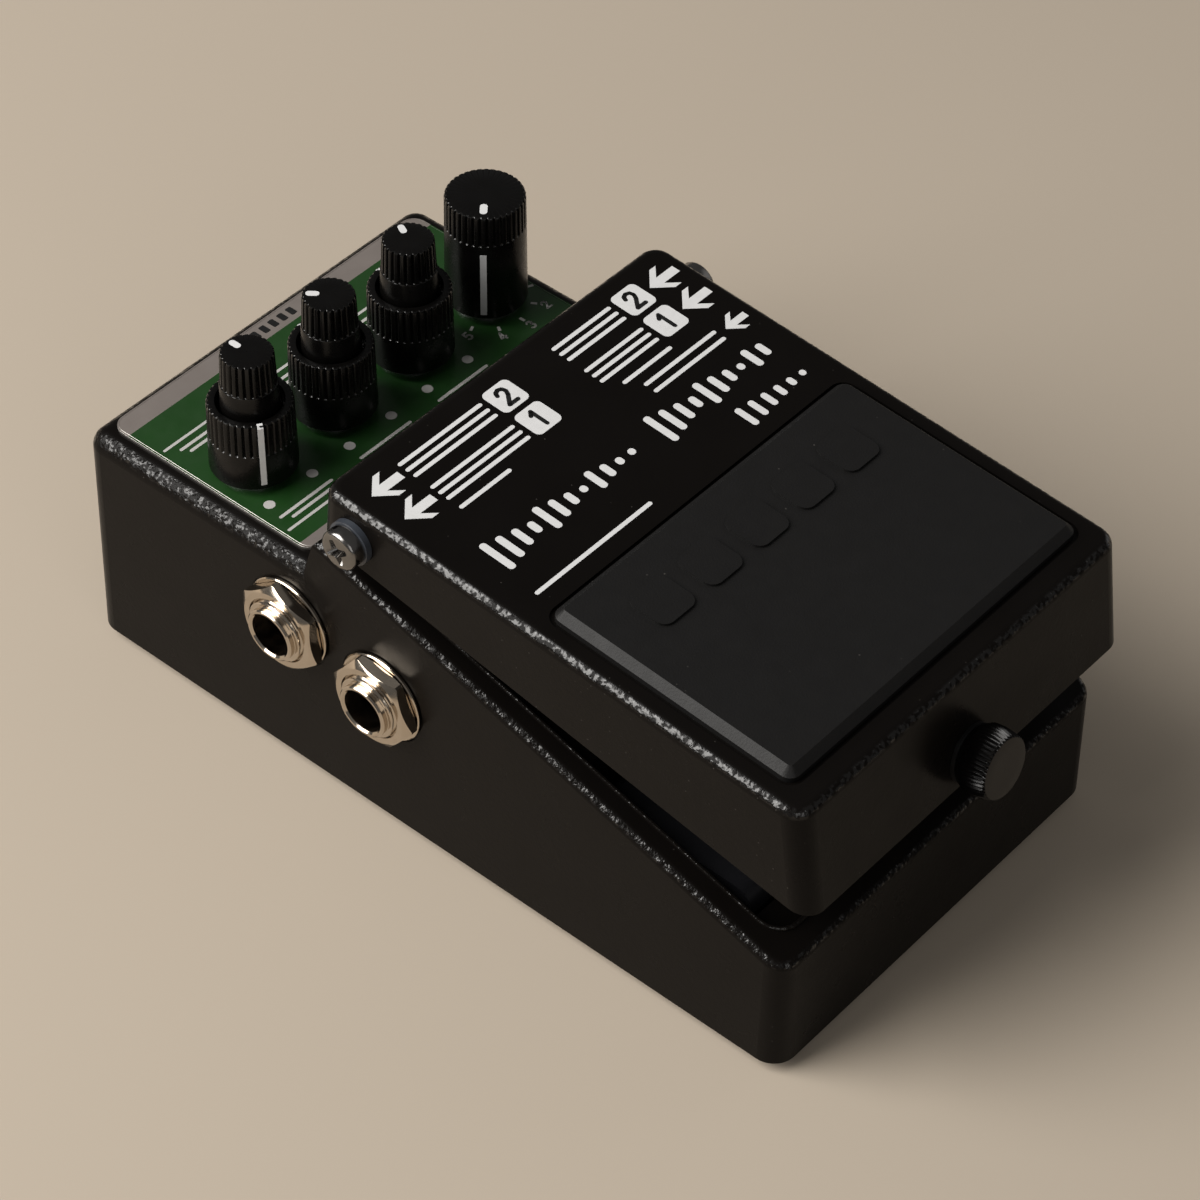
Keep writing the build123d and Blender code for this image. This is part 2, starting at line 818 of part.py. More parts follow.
def treadle():
    body = side_prism(treadle_outline(), -treadle_half, treadle_half)
    upright_edges = [e for e in body.edges() if abs(e.tangent_at(0).X) < overrun / 2]
    front = [e for e in upright_edges if e.center().Y < (treadle_front_y + treadle_lip_y) / 2 + overrun]
    body = fillet(front, treadle_corner)
    rear = [e for e in body.edges() if e.center().Y > treadle_rear_y - overrun]
    rear = [e for e in rear if abs(e.tangent_at(0).X) < overrun / 2]
    body = fillet(rear, treadle_rear_corner)
    top = body.faces().filter_by(lambda f: f.normal_at().Z > 0.9).sort_by(Axis.Z)[-1]
    body = fillet(top.edges(), treadle_round)
    body -= treadle_hollow()
    plane = thumb_plane()
    boss = thumb_boss_length + treadle_wall
    low = (Align.CENTER, Align.CENTER, Align.MAX)
    boss_block = plane * Cylinder(thumb_boss_radius, boss, align=low)
    body += boss_block & side_prism(treadle_outline(), -treadle_half, treadle_half)
    body -= plane * Cylinder(insert_radius + fit_gap, boss + overrun, align=low)
    body -= plane * Pos(0, 0, overrun) * Cylinder(insert_radius + fit_gap, boss, align=low)
    body -= along_x(sleeve_radius + run_gap, case_width, -half_width, hinge_y, hinge_z)
    for side in (-1, 1):
        inner = treadle_half - treadle_wall - part_gap
        x0 = min(side * (inner + part_gap), side * (inner - lug_width - notch_gap))
        x1 = x0 + lug_width + part_gap + notch_gap
        ceiling = treadle_ceiling(treadle_rear_y)
        body -= block(x0, treadle_heel_y, treadle_lip_z, x1, case_depth, ceiling - treadle_recess)
    recess_x = pad_width + 2 * pad_margin
    recess_y = pad_length + 2 * pad_margin
    recess = extrude(RectangleRounded(recess_x, recess_y, pad_corner + pad_margin), amount=overrun)
    body -= pad_plane() * Pos(0, 0, -treadle_recess) * recess
    return body


def treadle_pad():
    sheet = extrude(RectangleRounded(pad_width, pad_length, pad_corner), amount=pad_thickness)
    edges = sheet.faces().sort_by(Axis.Z)[-1].edges()
    sheet = chamfer(edges, pad_chamfer)
    grip = extrude(RectangleRounded(grip_width, grip_depth, grip_corner), amount=grip_height)
    for i in range(grip_count):
        sheet += Pos((i - (grip_count - 1) / 2) * grip_pitch, grip_rise, pad_thickness) * grip
    return pad_plane() * Pos(0, 0, -treadle_recess) * sheet


# Hinge screws: pan heads outside, shanks through the washers into the lugs
def hinge_screws():
    solids = []
    for side in (-1, 1):
        seat = treadle_half + run_gap + washer_thickness
        head = Cylinder(hinge_head_radius, hinge_head_height, align=(Align.CENTER, Align.CENTER, Align.MIN))
        head = fillet(head.edges().sort_by(Axis.Z)[-1], hinge_head_round)
        slot = Box(hinge_slot_length, hinge_slot_width, hinge_slot_depth * 2)
        head -= Pos(0, 0, hinge_head_height) * slot
        head -= Pos(0, 0, hinge_head_height) * Rot(0, 0, 90) * slot
        head = Pos(side * seat, hinge_y, hinge_z) * Rot(0, side * 90, 0) * head
        length = seat - (treadle_half - treadle_wall - part_gap - lug_width)
        x0 = min(side * seat, side * (seat - length))
        solids.append(head + along_x(hinge_screw_radius, length, x0, hinge_y, hinge_z))
    return solids


# Nylon washers with a sleeve that carries the treadle
def hinge_washers():
    solids = []
    for side in (-1, 1):
        seat = treadle_half + run_gap
        inner = treadle_half - treadle_wall - part_gap
        flange_x = min(side * seat, side * (seat + washer_thickness))
        sleeve_x = min(side * inner, side * seat)
        body = along_x(washer_radius, washer_thickness, flange_x, hinge_y, hinge_z)
        body += along_x(sleeve_radius, seat - inner, sleeve_x, hinge_y, hinge_z)
        body -= along_x(hinge_screw_radius + fit_gap, 2 * case_width, -case_width, hinge_y, hinge_z)
        solids.append(body)
    return solids


# Knurled thumb screw, with a pointed tip
def thumb_screw():
    foot_z = thumb_washer_height + 2 * run_gap
    body = turned([
        (0, thumb_length),
        (thumb_radius - thumb_edge, thumb_length),
        (thumb_radius, thumb_length - thumb_edge),
        (thumb_radius, foot_z),
        (thumb_shaft_radius, foot_z),
        (thumb_shaft_radius, thumb_tip - thumb_reach),
        (thumb_shaft_radius - thumb_tip, -thumb_reach),
        (0, -thumb_reach),
    ])
    reach = thumb_radius + thumb_edge / 8
    grooves = flutes(reach, thumb_flute_count, foot_z, thumb_length, thumb_flute_depth)
    return thumb_plane() * (body - grooves)


# Nylon washer that stays on the thumb screw, under its head
def thumb_washer():
    ring = upright(thumb_washer_radius, thumb_washer_height, 0, 0, run_gap)
    return thumb_plane() * (ring - upright(thumb_shaft_radius + run_gap, thumb_washer_height, 0, 0, run_gap))


# Threaded insert in the treadle's front boss
def thumb_insert():
    low = (Align.CENTER, Align.CENTER, Align.MAX)
    length = treadle_wall + thumb_boss_length
    body = Cylinder(insert_radius, length, align=low)
    body -= Cylinder(thumb_shaft_radius + run_gap, length, align=low)
    return thumb_plane() * body


# Steel bracket that stands in front of the battery bay and holds the guide bush
def latch_bracket():
    foot_z = tub_z(tub_front_y)
    y1 = bracket_y + bracket_thickness
    half = bracket_width / 2
    body = block(-half, bracket_y, foot_z - overrun, half, y1, bracket_top_z)
    slot_half = bush_slot_width / 2
    body -= block(-slot_half, bracket_y - overrun, bush_slot_low_z, slot_half, y1 + overrun, case_depth)
    return body - case_floor_wedge()


# Solid of the tub's floor, for cutting what stands on it
def case_floor_wedge():
    far = case_depth
    outline = [(-far, -far), (far, -far), (far, tub_z(far)), (-far, tub_z(-far))]
    return side_prism(outline, -case_width, case_width)


# Nylon bush with an upright slot for the tip of the thumb screw
def guide_bush():
    y0 = bracket_y + bracket_thickness
    half = bush_width / 2
    slot_half = bush_slot_width / 2
    body = block(-half, y0, bush_low_z, half, y0 + bush_thickness, bracket_top_z)
    return body - block(-slot_half, y0 - overrun, bush_slot_low_z, slot_half, y0 + case_wall * 2, case_depth)


spring_top_z = treadle_ceiling(spring_y + spring_base_radius) - spring_base_height


# Rise of the return spring's centre line in one turn
def spring_rise():
    free = spring_top_z - spring_seat_z - part_gap - fit_gap
    return (free - 2 * wire_radius) / spring_turns


# Point of the spring's centre line after a number of turns
def spring_point(turn):
    z = spring_seat_z + part_gap + wire_radius + spring_rise() * turn
    angle = 2 * pi * turn
    return Vector(spring_radius * cos(angle), spring_y + spring_radius * sin(angle), z)


# Direction of the spring's centre line after a number of turns
def spring_heading(turn):
    angle = 2 * pi * turn
    around = 2 * pi * spring_radius
    return Vector(-around * sin(angle), around * cos(angle), spring_rise()).normalized()


# Arc that leaves a point towards a corner and ends at a second point
def corner_arc(start, corner, end):
    weight = (end - start).length / (2 * (corner - start).length)
    middle = (start + corner * (2 * weight) + end) * (1 / (2 + 2 * weight))
    return ThreePointArc(start, middle, end)


# Two arcs that join two points of the spring in their own directions
def spring_biarc(turn0, turn1):
    start = spring_point(turn0)
    end = spring_point(turn1)
    heading0 = spring_heading(turn0)
    heading1 = spring_heading(turn1)
    chord = end - start
    both = heading0 + heading1
    a = both.dot(both) - 4
    b = -2 * chord.dot(both)
    c = chord.dot(chord)
    reach = (-b - sqrt(b * b - 4 * a * c)) / (2 * a)
    corner0 = start + heading0 * reach
    corner1 = end - heading1 * reach
    joint = (corner0 + corner1) * 0.5
    return [corner_arc(start, corner0, joint), corner_arc(joint, corner1, end)]


# Least gap between the wire's turns, measured on points along the centre line
def spring_gap():
    steps = 48
    points = [spring_point(i / steps) for i in range(spring_turns * steps + 1)]
    pairs = [(p, q) for i, p in enumerate(points) for q in points[i + steps // 2:]]
    return min((q - p).length for p, q in pairs) - 2 * wire_radius


def return_spring():
    arcs = []
    for i in range(spring_turns * 4):
        arcs += spring_biarc(i / 4, (i + 1) / 4)
    path = Wire(arcs)
    section = Plane(origin=path @ 0, z_dir=path % 0) * Circle(wire_radius)
    print("spring: least gap between turns %.2f mm" % spring_gap())
    return sweep(section, path=path)


# Spring base on the treadle's ceiling, with a post inside the coil
def spring_base():
    top_z = treadle_ceiling(spring_y + spring_base_radius) + spring_base_height
    body = upright(spring_base_radius, top_z - spring_top_z, 0, spring_y, spring_top_z)
    body += upright(spring_post_radius, spring_post_length, 0, spring_y, spring_top_z - spring_post_length)
    return body & treadle_room()


# Space under the treadle's ceiling, for cutting what hangs from it
def treadle_room():
    far = case_depth
    outline = [(-far, 0), (far, 0), (far, treadle_ceiling(far)), (-far, treadle_ceiling(-far))]
    return side_prism(outline, -case_width, case_width)


# Post on the treadle's ceiling that works the switch plunger
def actuator_post():
    low_z = plunger_top_z + actuator_gap
    top_z = treadle_ceiling(switch_y + actuator_base_radius) + overrun
    flange_z = treadle_ceiling(switch_y - actuator_base_radius) - actuator_base_height
    body = upright(actuator_radius, top_z - low_z, switch_x, switch_y, low_z)
    body += upright(actuator_base_radius, top_z - flange_z, switch_x, switch_y, flange_z)
    return body & treadle_room()


# Plunger that passes the push through the tub's floor to the switch
def switch_plunger():
    body = upright(plunger_radius, plunger_top_z - plunger_low_z, switch_x, switch_y, plunger_low_z)
    return body + upright(plunger_flange_radius, plunger_flange, switch_x, switch_y, plunger_low_z)


def tact_low_z():
    return plunger_low_z - plunger_travel - part_gap - tact_stem_height - tact_height


def tact_switch():
    low_z = tact_low_z()
    top_z = low_z + tact_height
    half = tact_size / 2
    body = block(switch_x - half, switch_y - half, low_z, switch_x + half, switch_y + half, top_z)
    return body + upright(tact_stem_radius, tact_stem_height, switch_x, switch_y, top_z)


def switch_board():
    top_z = tact_low_z()
    half_x = switch_board_width / 2
    half_y = switch_board_depth / 2
    low_z = top_z - board_thickness
    body = block(switch_x - half_x, switch_y - half_y, low_z, switch_x + half_x, switch_y + half_y, top_z)
    legs_z = main_board_z + board_thickness
    for sx in (-1, 1):
        x = switch_x + sx * (half_x - board_thickness)
        body += upright(board_thickness / 2, low_z - legs_z, x, switch_y - half_y / 2, legs_z)
    return body


def battery():
    y0 = bay_front_y + (bay_length - battery_depth) / 2
    z0 = bay_floor_z + foam_thickness
    x1 = battery_left_x + battery_length - terminal_height
    body = block(battery_left_x, y0, z0, x1, y0 + battery_depth, z0 + battery_height)
    body = fillet(body.edges().filter_by(Axis.X), battery_corner)
    for sign in (-1, 1):
        y = y0 + battery_depth / 2 + sign * terminal_pitch / 2
        body += along_x(terminal_radius, terminal_height, x1, y, z0 + battery_height / 2)
    return body


def battery_snap():
    x0 = battery_left_x + battery_length
    y0 = bay_front_y + (bay_length - snap_depth) / 2
    z0 = bay_floor_z + foam_thickness + (battery_height - snap_height) / 2
    body = block(x0, y0, z0, x0 + snap_thickness, y0 + snap_depth, z0 + snap_height)
    return fillet(body.edges().filter_by(Axis.X), snap_corner)


def battery_foam():
    x1 = battery_left_x + battery_length - terminal_height
    y0 = bay_front_y + (bay_length - battery_depth) / 2
    z1 = bay_floor_z + foam_thickness
    return block(battery_left_x, y0, bay_floor_z, x1, y0 + battery_depth, z1)


def lead_x():
    return battery_left_x + battery_length + snap_thickness / 2


# Height of each lead, and how far it runs past the bay's rear wall
def lead_places():
    low_z = bay_floor_z + foam_thickness + battery_height / 2 - lead_low
    return [(low_z, lead_run), (low_z + lead_pitch, lead_run + lead_run_step)]


# Leads from the snap, through the bay's rear wall, down to the main board
def battery_leads():
    solids = []
    x = lead_x()
    y0 = bay_front_y + (bay_length + snap_depth) / 2
    end_z = main_board_z + board_thickness
    for z, run in lead_places():
        y1 = bay_rear_y + run
        path = FilletPolyline((x, y0, z), (x, y1, z), (x, y1, end_z), radius=lead_bend)
        section = Plane(origin=path @ 0, z_dir=path % 0) * Circle(lead_radius)
        solids.append(sweep(section, path=path))
    return solids


# Main board, notched round the posts of the base screws
def main_board():
    top_z = main_board_z + board_thickness
    edge_x = main_board_half_width
    body = block(-edge_x, main_board_front_y, main_board_z, edge_x, main_board_rear_y, top_z)
    notch = post_radius + part_gap
    cut_z = main_board_z - board_thickness
    cut_height = board_thickness * 3
    for x, y in base_screw_places():
        body -= upright(notch, cut_height, x, y, cut_z)
        far = x + notch if x > 0 else x - notch
        body -= block(min(x, far), y - notch, cut_z, max(x, far), y + notch, cut_z + cut_height)
    for x, y in board_screw_places():
        body -= upright(board_screw_radius + run_gap, cut_height, x, y, cut_z)
    return body


def board_screws():
    solids = []
    for x, y in board_screw_places():
        head_z = main_board_z - board_screw_head_height
        shank = board_screw_length - part_gap
        head = upright(board_screw_head_radius, board_screw_head_height, x, y, head_z)
        solids.append(head + upright(board_screw_radius, shank, x, y, main_board_z))
    return solids


def control_board():
    top_z = control_board_z + board_thickness
    half = control_board_half_width
    return block(-half, control_board_front_y, control_board_z, half, control_board_rear_y, top_z)


# Pin header between the two boards
def board_header():
    low_z = main_board_z + board_thickness
    half = header_length / 2
    return block(-half, header_y, low_z, half, header_y + header_depth, control_board_z)


# Chips and capacitors on the main board
def board_components():
    low_z = main_board_z + board_thickness
    half = chip_width / 2
    solids = [block(-half, chip_y - half, low_z, half, chip_y + half, low_z + chip_height)]
    for i in (-1, 0, 1):
        solids.append(upright(can_radius, can_height, i * can_pitch, can_y, low_z))
    return solids


# Threaded bushing of a jack, outside and through the wall, with a narrower lip
def jack_bushings():
    solids = []
    for side, y, z in all_jacks:
        tip = land_x + jack_proud
        root = inner_half_width - case_wall / 2
        x0 = min(side * root, side * tip)
        body = along_x(jack_lip_radius, tip - root, x0, y, z)
        x1 = min(side * root, side * (tip - jack_lip))
        body += along_x(jack_thread_radius, tip - jack_lip - root, x1, y, z)
        solids.append(body - along_x(jack_bore, tip - root, x0, y, z))
    return solids


# Plastic body of a jack, with the bore for the plug
def jack_body(side, y, z):
    root = inner_half_width - case_wall / 2
    half = jack_body_size / 2
    deep = root - jack_body_length
    x0 = min(side * root, side * deep)
    body = block(x0, y - half, z - half, x0 + jack_body_length, y + half, z + half)
    bore_x = min(side * root, side * (deep + case_wall))
    return body - along_x(jack_bore, jack_body_length - case_wall, bore_x, y, z)


def jack_nuts():
    solids = []
    for side, y, z in all_jacks:
        seat = land_x + jack_washer_height
        nut = extrude(RegularPolygon(jack_nut_flats / 2, 6, major_radius=False), amount=jack_nut_height)
        nut = Pos(side * seat, y, z) * Rot(0, side * 90, 0) * nut
        x0 = min(side * seat, side * (seat + jack_nut_height))
        solids.append(nut - along_x(jack_thread_radius + run_gap, jack_nut_height, x0, y, z))
    return solids


def jack_washers():
    solids = []
    for side, y, z in all_jacks:
        x0 = min(side * land_x, side * (land_x + jack_washer_height))
        ring = along_x(jack_washer_radius, jack_washer_height, x0, y, z)
        solids.append(ring - along_x(jack_thread_radius + run_gap, jack_washer_height, x0, y, z))
    return solids


# Power socket in the rear wall, with its centre pin
def dc_inlet():
    nose_y = half_depth - draft_inset
    root = inner_half_depth
    half_x = inlet_width / 2
    half_z = inlet_height / 2
    body = block(-half_x, root - inlet_length, inlet_z - half_z, half_x, root, inlet_z + half_z)
    body += along_y(inlet_nose_radius, nose_y - root + overrun, 0, root - overrun, inlet_z)
    body -= along_y(inlet_bore, inlet_bore_depth + overrun, 0, nose_y - inlet_bore_depth, inlet_z)
    pin_y = nose_y - inlet_bore_depth - overrun
    return body + along_y(inlet_pin_radius, inlet_pin_length + overrun, 0, pin_y, inlet_z)


def save(name, shape):
    solids = shape if isinstance(shape, list) else [shape]
    solids = [s for item in solids for s in item.solids()]
    export_step(solids[0] if len(solids) == 1 else Compound(children=solids), "parts/%s.step" % name)


def build():
    os.makedirs("parts", exist_ok=True)
    save("lower_case", lower_case())
    save("base_plate", base_plate())
    save("base_rubber", base_rubber())
    save("base_screws", base_screws())
    save("insulation_sheet", insulation_sheet())
    save("control_panel", control_panel())
    save("lamp", lamp())
    for name, x in zip(knob_names, knob_places):
        save("pot_" + name, pot_body(x, outer_shaft_radius))
        save("outer_shaft_" + name, outer_shaft(x))
        save("inner_shaft_" + name, inner_shaft(x))
        save("ring_knob_" + name, ring_knob(x))
        save("cap_knob_" + name, cap_knob(x))
    mode_x = knob_places[-1]
    save("mode_switch", pot_body(mode_x, mode_shaft_radius))
    save("mode_shaft", mode_shaft(mode_x))
    save("mode_knob", mode_knob(mode_x))
    save("pot_washers", pot_washers())
    save("pot_nuts", pot_nuts())
    save("treadle", treadle())
    save("treadle_pad", treadle_pad())
    save("hinge_screws", hinge_screws())
    save("hinge_washers", hinge_washers())
    save("thumb_screw", thumb_screw())
    save("thumb_washer", thumb_washer())
    save("thumb_insert", thumb_insert())
    save("latch_bracket", latch_bracket())
    save("guide_bush", guide_bush())
    save("return_spring", return_spring())
    save("spring_base", spring_base())
    save("actuator_post", actuator_post())
    save("switch_plunger", switch_plunger())
    save("tact_switch", tact_switch())
    save("switch_board", switch_board())
    save("battery", battery())
    save("battery_snap", battery_snap())
    save("battery_foam", battery_foam())
    save("battery_leads", battery_leads())
    save("main_board", main_board())
    save("board_screws", board_screws())
    save("control_board", control_board())
    save("board_header", board_header())
    save("board_components", board_components())
    save("output_jacks", [jack_body(*place) for place in left_jacks])
    save("input_jacks", [jack_body(*place) for place in right_jacks])
    save("jack_bushings", jack_bushings())
    save("jack_nuts", jack_nuts())
    save("jack_washers", jack_washers())
    save("dc_inlet", dc_inlet())


build()
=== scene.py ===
import bpy, bmesh, json
from math import sin, cos, tan, pi, radians, hypot
from mathutils import Vector, Matrix


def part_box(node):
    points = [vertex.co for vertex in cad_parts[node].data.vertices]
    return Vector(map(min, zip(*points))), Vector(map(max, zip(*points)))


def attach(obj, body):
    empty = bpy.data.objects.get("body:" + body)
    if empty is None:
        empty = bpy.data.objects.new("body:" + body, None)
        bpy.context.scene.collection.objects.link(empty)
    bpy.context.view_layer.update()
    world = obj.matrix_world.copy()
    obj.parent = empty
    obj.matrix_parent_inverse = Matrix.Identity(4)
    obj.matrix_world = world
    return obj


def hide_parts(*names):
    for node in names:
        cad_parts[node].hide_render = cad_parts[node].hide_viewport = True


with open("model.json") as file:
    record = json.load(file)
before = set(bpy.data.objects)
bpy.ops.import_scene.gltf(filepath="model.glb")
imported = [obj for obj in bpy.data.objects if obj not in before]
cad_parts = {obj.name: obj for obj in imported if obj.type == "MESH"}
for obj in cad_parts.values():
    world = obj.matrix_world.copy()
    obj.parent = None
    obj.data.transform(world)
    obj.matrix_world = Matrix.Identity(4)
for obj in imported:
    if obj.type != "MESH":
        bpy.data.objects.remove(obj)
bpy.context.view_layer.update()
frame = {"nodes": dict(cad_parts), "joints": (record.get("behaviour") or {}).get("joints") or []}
nodes = frame["nodes"]
mm = 0.001
knobSides = ("left", "middle", "right")
print("frame loaded:", len(nodes), "nodes")


# node helpers for the finishes
def startFinish(name):
    finish = bpy.data.materials.new(name)
    finish.use_nodes = True
    tree = finish.node_tree
    tree.nodes.clear()
    output = tree.nodes.new("ShaderNodeOutputMaterial")
    shader = tree.nodes.new("ShaderNodeBsdfPrincipled")
    tree.links.new(shader.outputs[0], output.inputs[0])
    return finish, tree, shader


# links a socket to another node's output, or sets its value
def feed(tree, socket, value):
    if isinstance(value, bpy.types.NodeSocket):
        tree.links.new(value, socket)
    else:
        socket.default_value = value


def setInputs(node, **values):
    for name, value in values.items():
        node.inputs[name.replace("_", " ")].default_value = value


def mathOf(tree, operation, first, second):
    node = tree.nodes.new("ShaderNodeMath")
    node.operation = operation
    feed(tree, node.inputs[0], first)
    feed(tree, node.inputs[1], second)
    return node.outputs[0]


def objectCoords(tree):
    return tree.nodes.new("ShaderNodeTexCoord").outputs["Object"]


def partsOf(tree, vector):
    split = tree.nodes.new("ShaderNodeSeparateXYZ")
    tree.links.new(vector, split.inputs[0])
    return split.outputs


grainDetail = 2.0
patchDetail = 3.0
glintDetail = 1.0


def noiseOf(tree, scale, detail=grainDetail, stretch=None):
    noise = tree.nodes.new("ShaderNodeTexNoise")
    setInputs(noise, Scale=scale, Detail=detail)
    source = objectCoords(tree)
    if stretch:
        mapping = tree.nodes.new("ShaderNodeMapping")
        mapping.inputs["Scale"].default_value = stretch
        tree.links.new(source, mapping.inputs["Vector"])
        source = mapping.outputs[0]
    tree.links.new(source, noise.inputs["Vector"])
    return noise.outputs["Fac"]


def spread(tree, value, low, high, fromLow=0.3, fromHigh=0.7):
    ramp = tree.nodes.new("ShaderNodeMapRange")
    setInputs(ramp, From_Min=fromLow, From_Max=fromHigh, To_Min=low, To_Max=high)
    tree.links.new(value, ramp.inputs["Value"])
    return ramp.outputs["Result"]


def mixColour(tree, factor, first, second):
    mix = tree.nodes.new("ShaderNodeMix")
    mix.data_type = "RGBA"
    feed(tree, mix.inputs["Factor"], factor)
    # inputs 6 and 7 take the two colours, and output 2 gives the mixed one
    for socket, colour in ((mix.inputs[6], first), (mix.inputs[7], second)):
        feed(tree, socket, (*colour, 1.0) if isinstance(colour, tuple) else colour)
    return mix.outputs[2]


def bumpOf(tree, height, strength, distance, after=None):
    bump = tree.nodes.new("ShaderNodeBump")
    feed(tree, bump.inputs["Strength"], strength)
    bump.inputs["Distance"].default_value = distance
    tree.links.new(height, bump.inputs["Height"])
    if after is not None:
        tree.links.new(after, bump.inputs["Normal"])
    return bump.outputs[0]


# roughness varies in finer patches than colour
roughScale = 1.7


def addRough(tree, shader, scale, rough, vary):
    amount = spread(tree, noiseOf(tree, scale, patchDetail), rough - vary, rough + vary)
    tree.links.new(amount, shader.inputs["Roughness"])


# limits of the normal's longest part, from a curved edge to a flat wall, and of its height
edgeLimits = dict(curved=0.86, flat=0.955, level=0.12, upward=0.45)


# 1 on rounded edges that look upward, 0 on flat walls, from the normal in the piece's frame
def edgeMask(tree):
    shape = tree.nodes.new("ShaderNodeNewGeometry")
    turn = tree.nodes.new("ShaderNodeVectorTransform")
    turn.vector_type = "NORMAL"
    turn.convert_from = "WORLD"
    turn.convert_to = "OBJECT"
    tree.links.new(shape.outputs["Normal"], turn.inputs[0])
    size = tree.nodes.new("ShaderNodeVectorMath")
    size.operation = "ABSOLUTE"
    tree.links.new(turn.outputs[0], size.inputs[0])
    x, y, z = partsOf(tree, size.outputs[0])
    longest = mathOf(tree, "MAXIMUM", mathOf(tree, "MAXIMUM", x, y), z)
    rounded = spread(tree, longest, 1.0, 0.0, edgeLimits["curved"], edgeLimits["flat"])
    height = partsOf(tree, turn.outputs[0])["Z"]
    raised = spread(tree, height, 0.0, 1.0, edgeLimits["level"], edgeLimits["upward"])
    return mathOf(tree, "MULTIPLY", rounded, raised)


# sparse pale specks, one in a few cells
dustLook = dict(colour=(0.22, 0.2, 0.18), core=0.04, rim=0.10, rare=0.86, rarest=0.95)


def dustOf(tree, scale, amount):
    cells = tree.nodes.new("ShaderNodeTexVoronoi")
    cells.inputs["Scale"].default_value = scale
    tree.links.new(objectCoords(tree), cells.inputs["Vector"])
    near = spread(tree, cells.outputs["Distance"], 1.0, 0.0, dustLook["core"], dustLook["rim"])
    pick = tree.nodes.new("ShaderNodeSeparateColor")
    tree.links.new(cells.outputs["Color"], pick.inputs[0])
    chosen = spread(tree, pick.outputs[0], 0.0, amount, dustLook["rare"], dustLook["rarest"])
    return mathOf(tree, "MULTIPLY", near, chosen)


# rounded edges are glossier and rougher in shape, so they sparkle
def addEdge(tree, shader, edge, normal):
    mask = edgeMask(tree)
    shown = mask
    if "glint" in edge:
        # only some of the grain catches the light
        scale, low, high = edge["glint"]
        caught = spread(tree, noiseOf(tree, scale, glintDetail), 0.0, 1.0, low, high)
        shown = mathOf(tree, "MULTIPLY", mask, caught)
    tree.links.new(spread(tree, shown, 0.0, edge["coat"], 0.0, 1.0), shader.inputs["Coat Weight"])
    setInputs(shader, Coat_Roughness=edge["rough"])
    for scale, strength, depth in edge["bumps"]:
        amount = spread(tree, mask, 0.0, strength, 0.0, 1.0)
        normal = bumpOf(tree, noiseOf(tree, scale), amount, depth, normal)
    tree.links.new(normal, shader.inputs["Coat Normal"])
    return normal


# finishes: each bump has a scale, a strength and a depth, and may have a stretch
def makeFinish(name, look):
    finish, tree, shader = startFinish(name)
    setInputs(shader, Metallic=look.get("metal", 0.0), Specular_IOR_Level=look.get("shine", 0.5))
    if "coat" in look:
        setInputs(shader, Coat_Weight=look["coat"], Coat_Roughness=look["coatRough"])
    colour = mixColour(tree, noiseOf(tree, look["patch"], patchDetail), look["dark"], look["light"])
    if "dust" in look:
        colour = mixColour(tree, dustOf(tree, look["dustScale"], look["dust"]), colour, dustLook["colour"])
    tree.links.new(colour, shader.inputs["Base Color"])
    addRough(tree, shader, look["patch"] * roughScale, look["rough"], look.get("roughVary", 0.06))
    normal = None
    for scale, strength, depth, *stretch in look["bumps"]:
        normal = bumpOf(tree, noiseOf(tree, scale, grainDetail, *stretch), strength, depth, normal)
    if "edge" in look:
        normal = addEdge(tree, shader, look["edge"], normal)
    if normal is not None:
        tree.links.new(normal, shader.inputs["Normal"])
    return finish


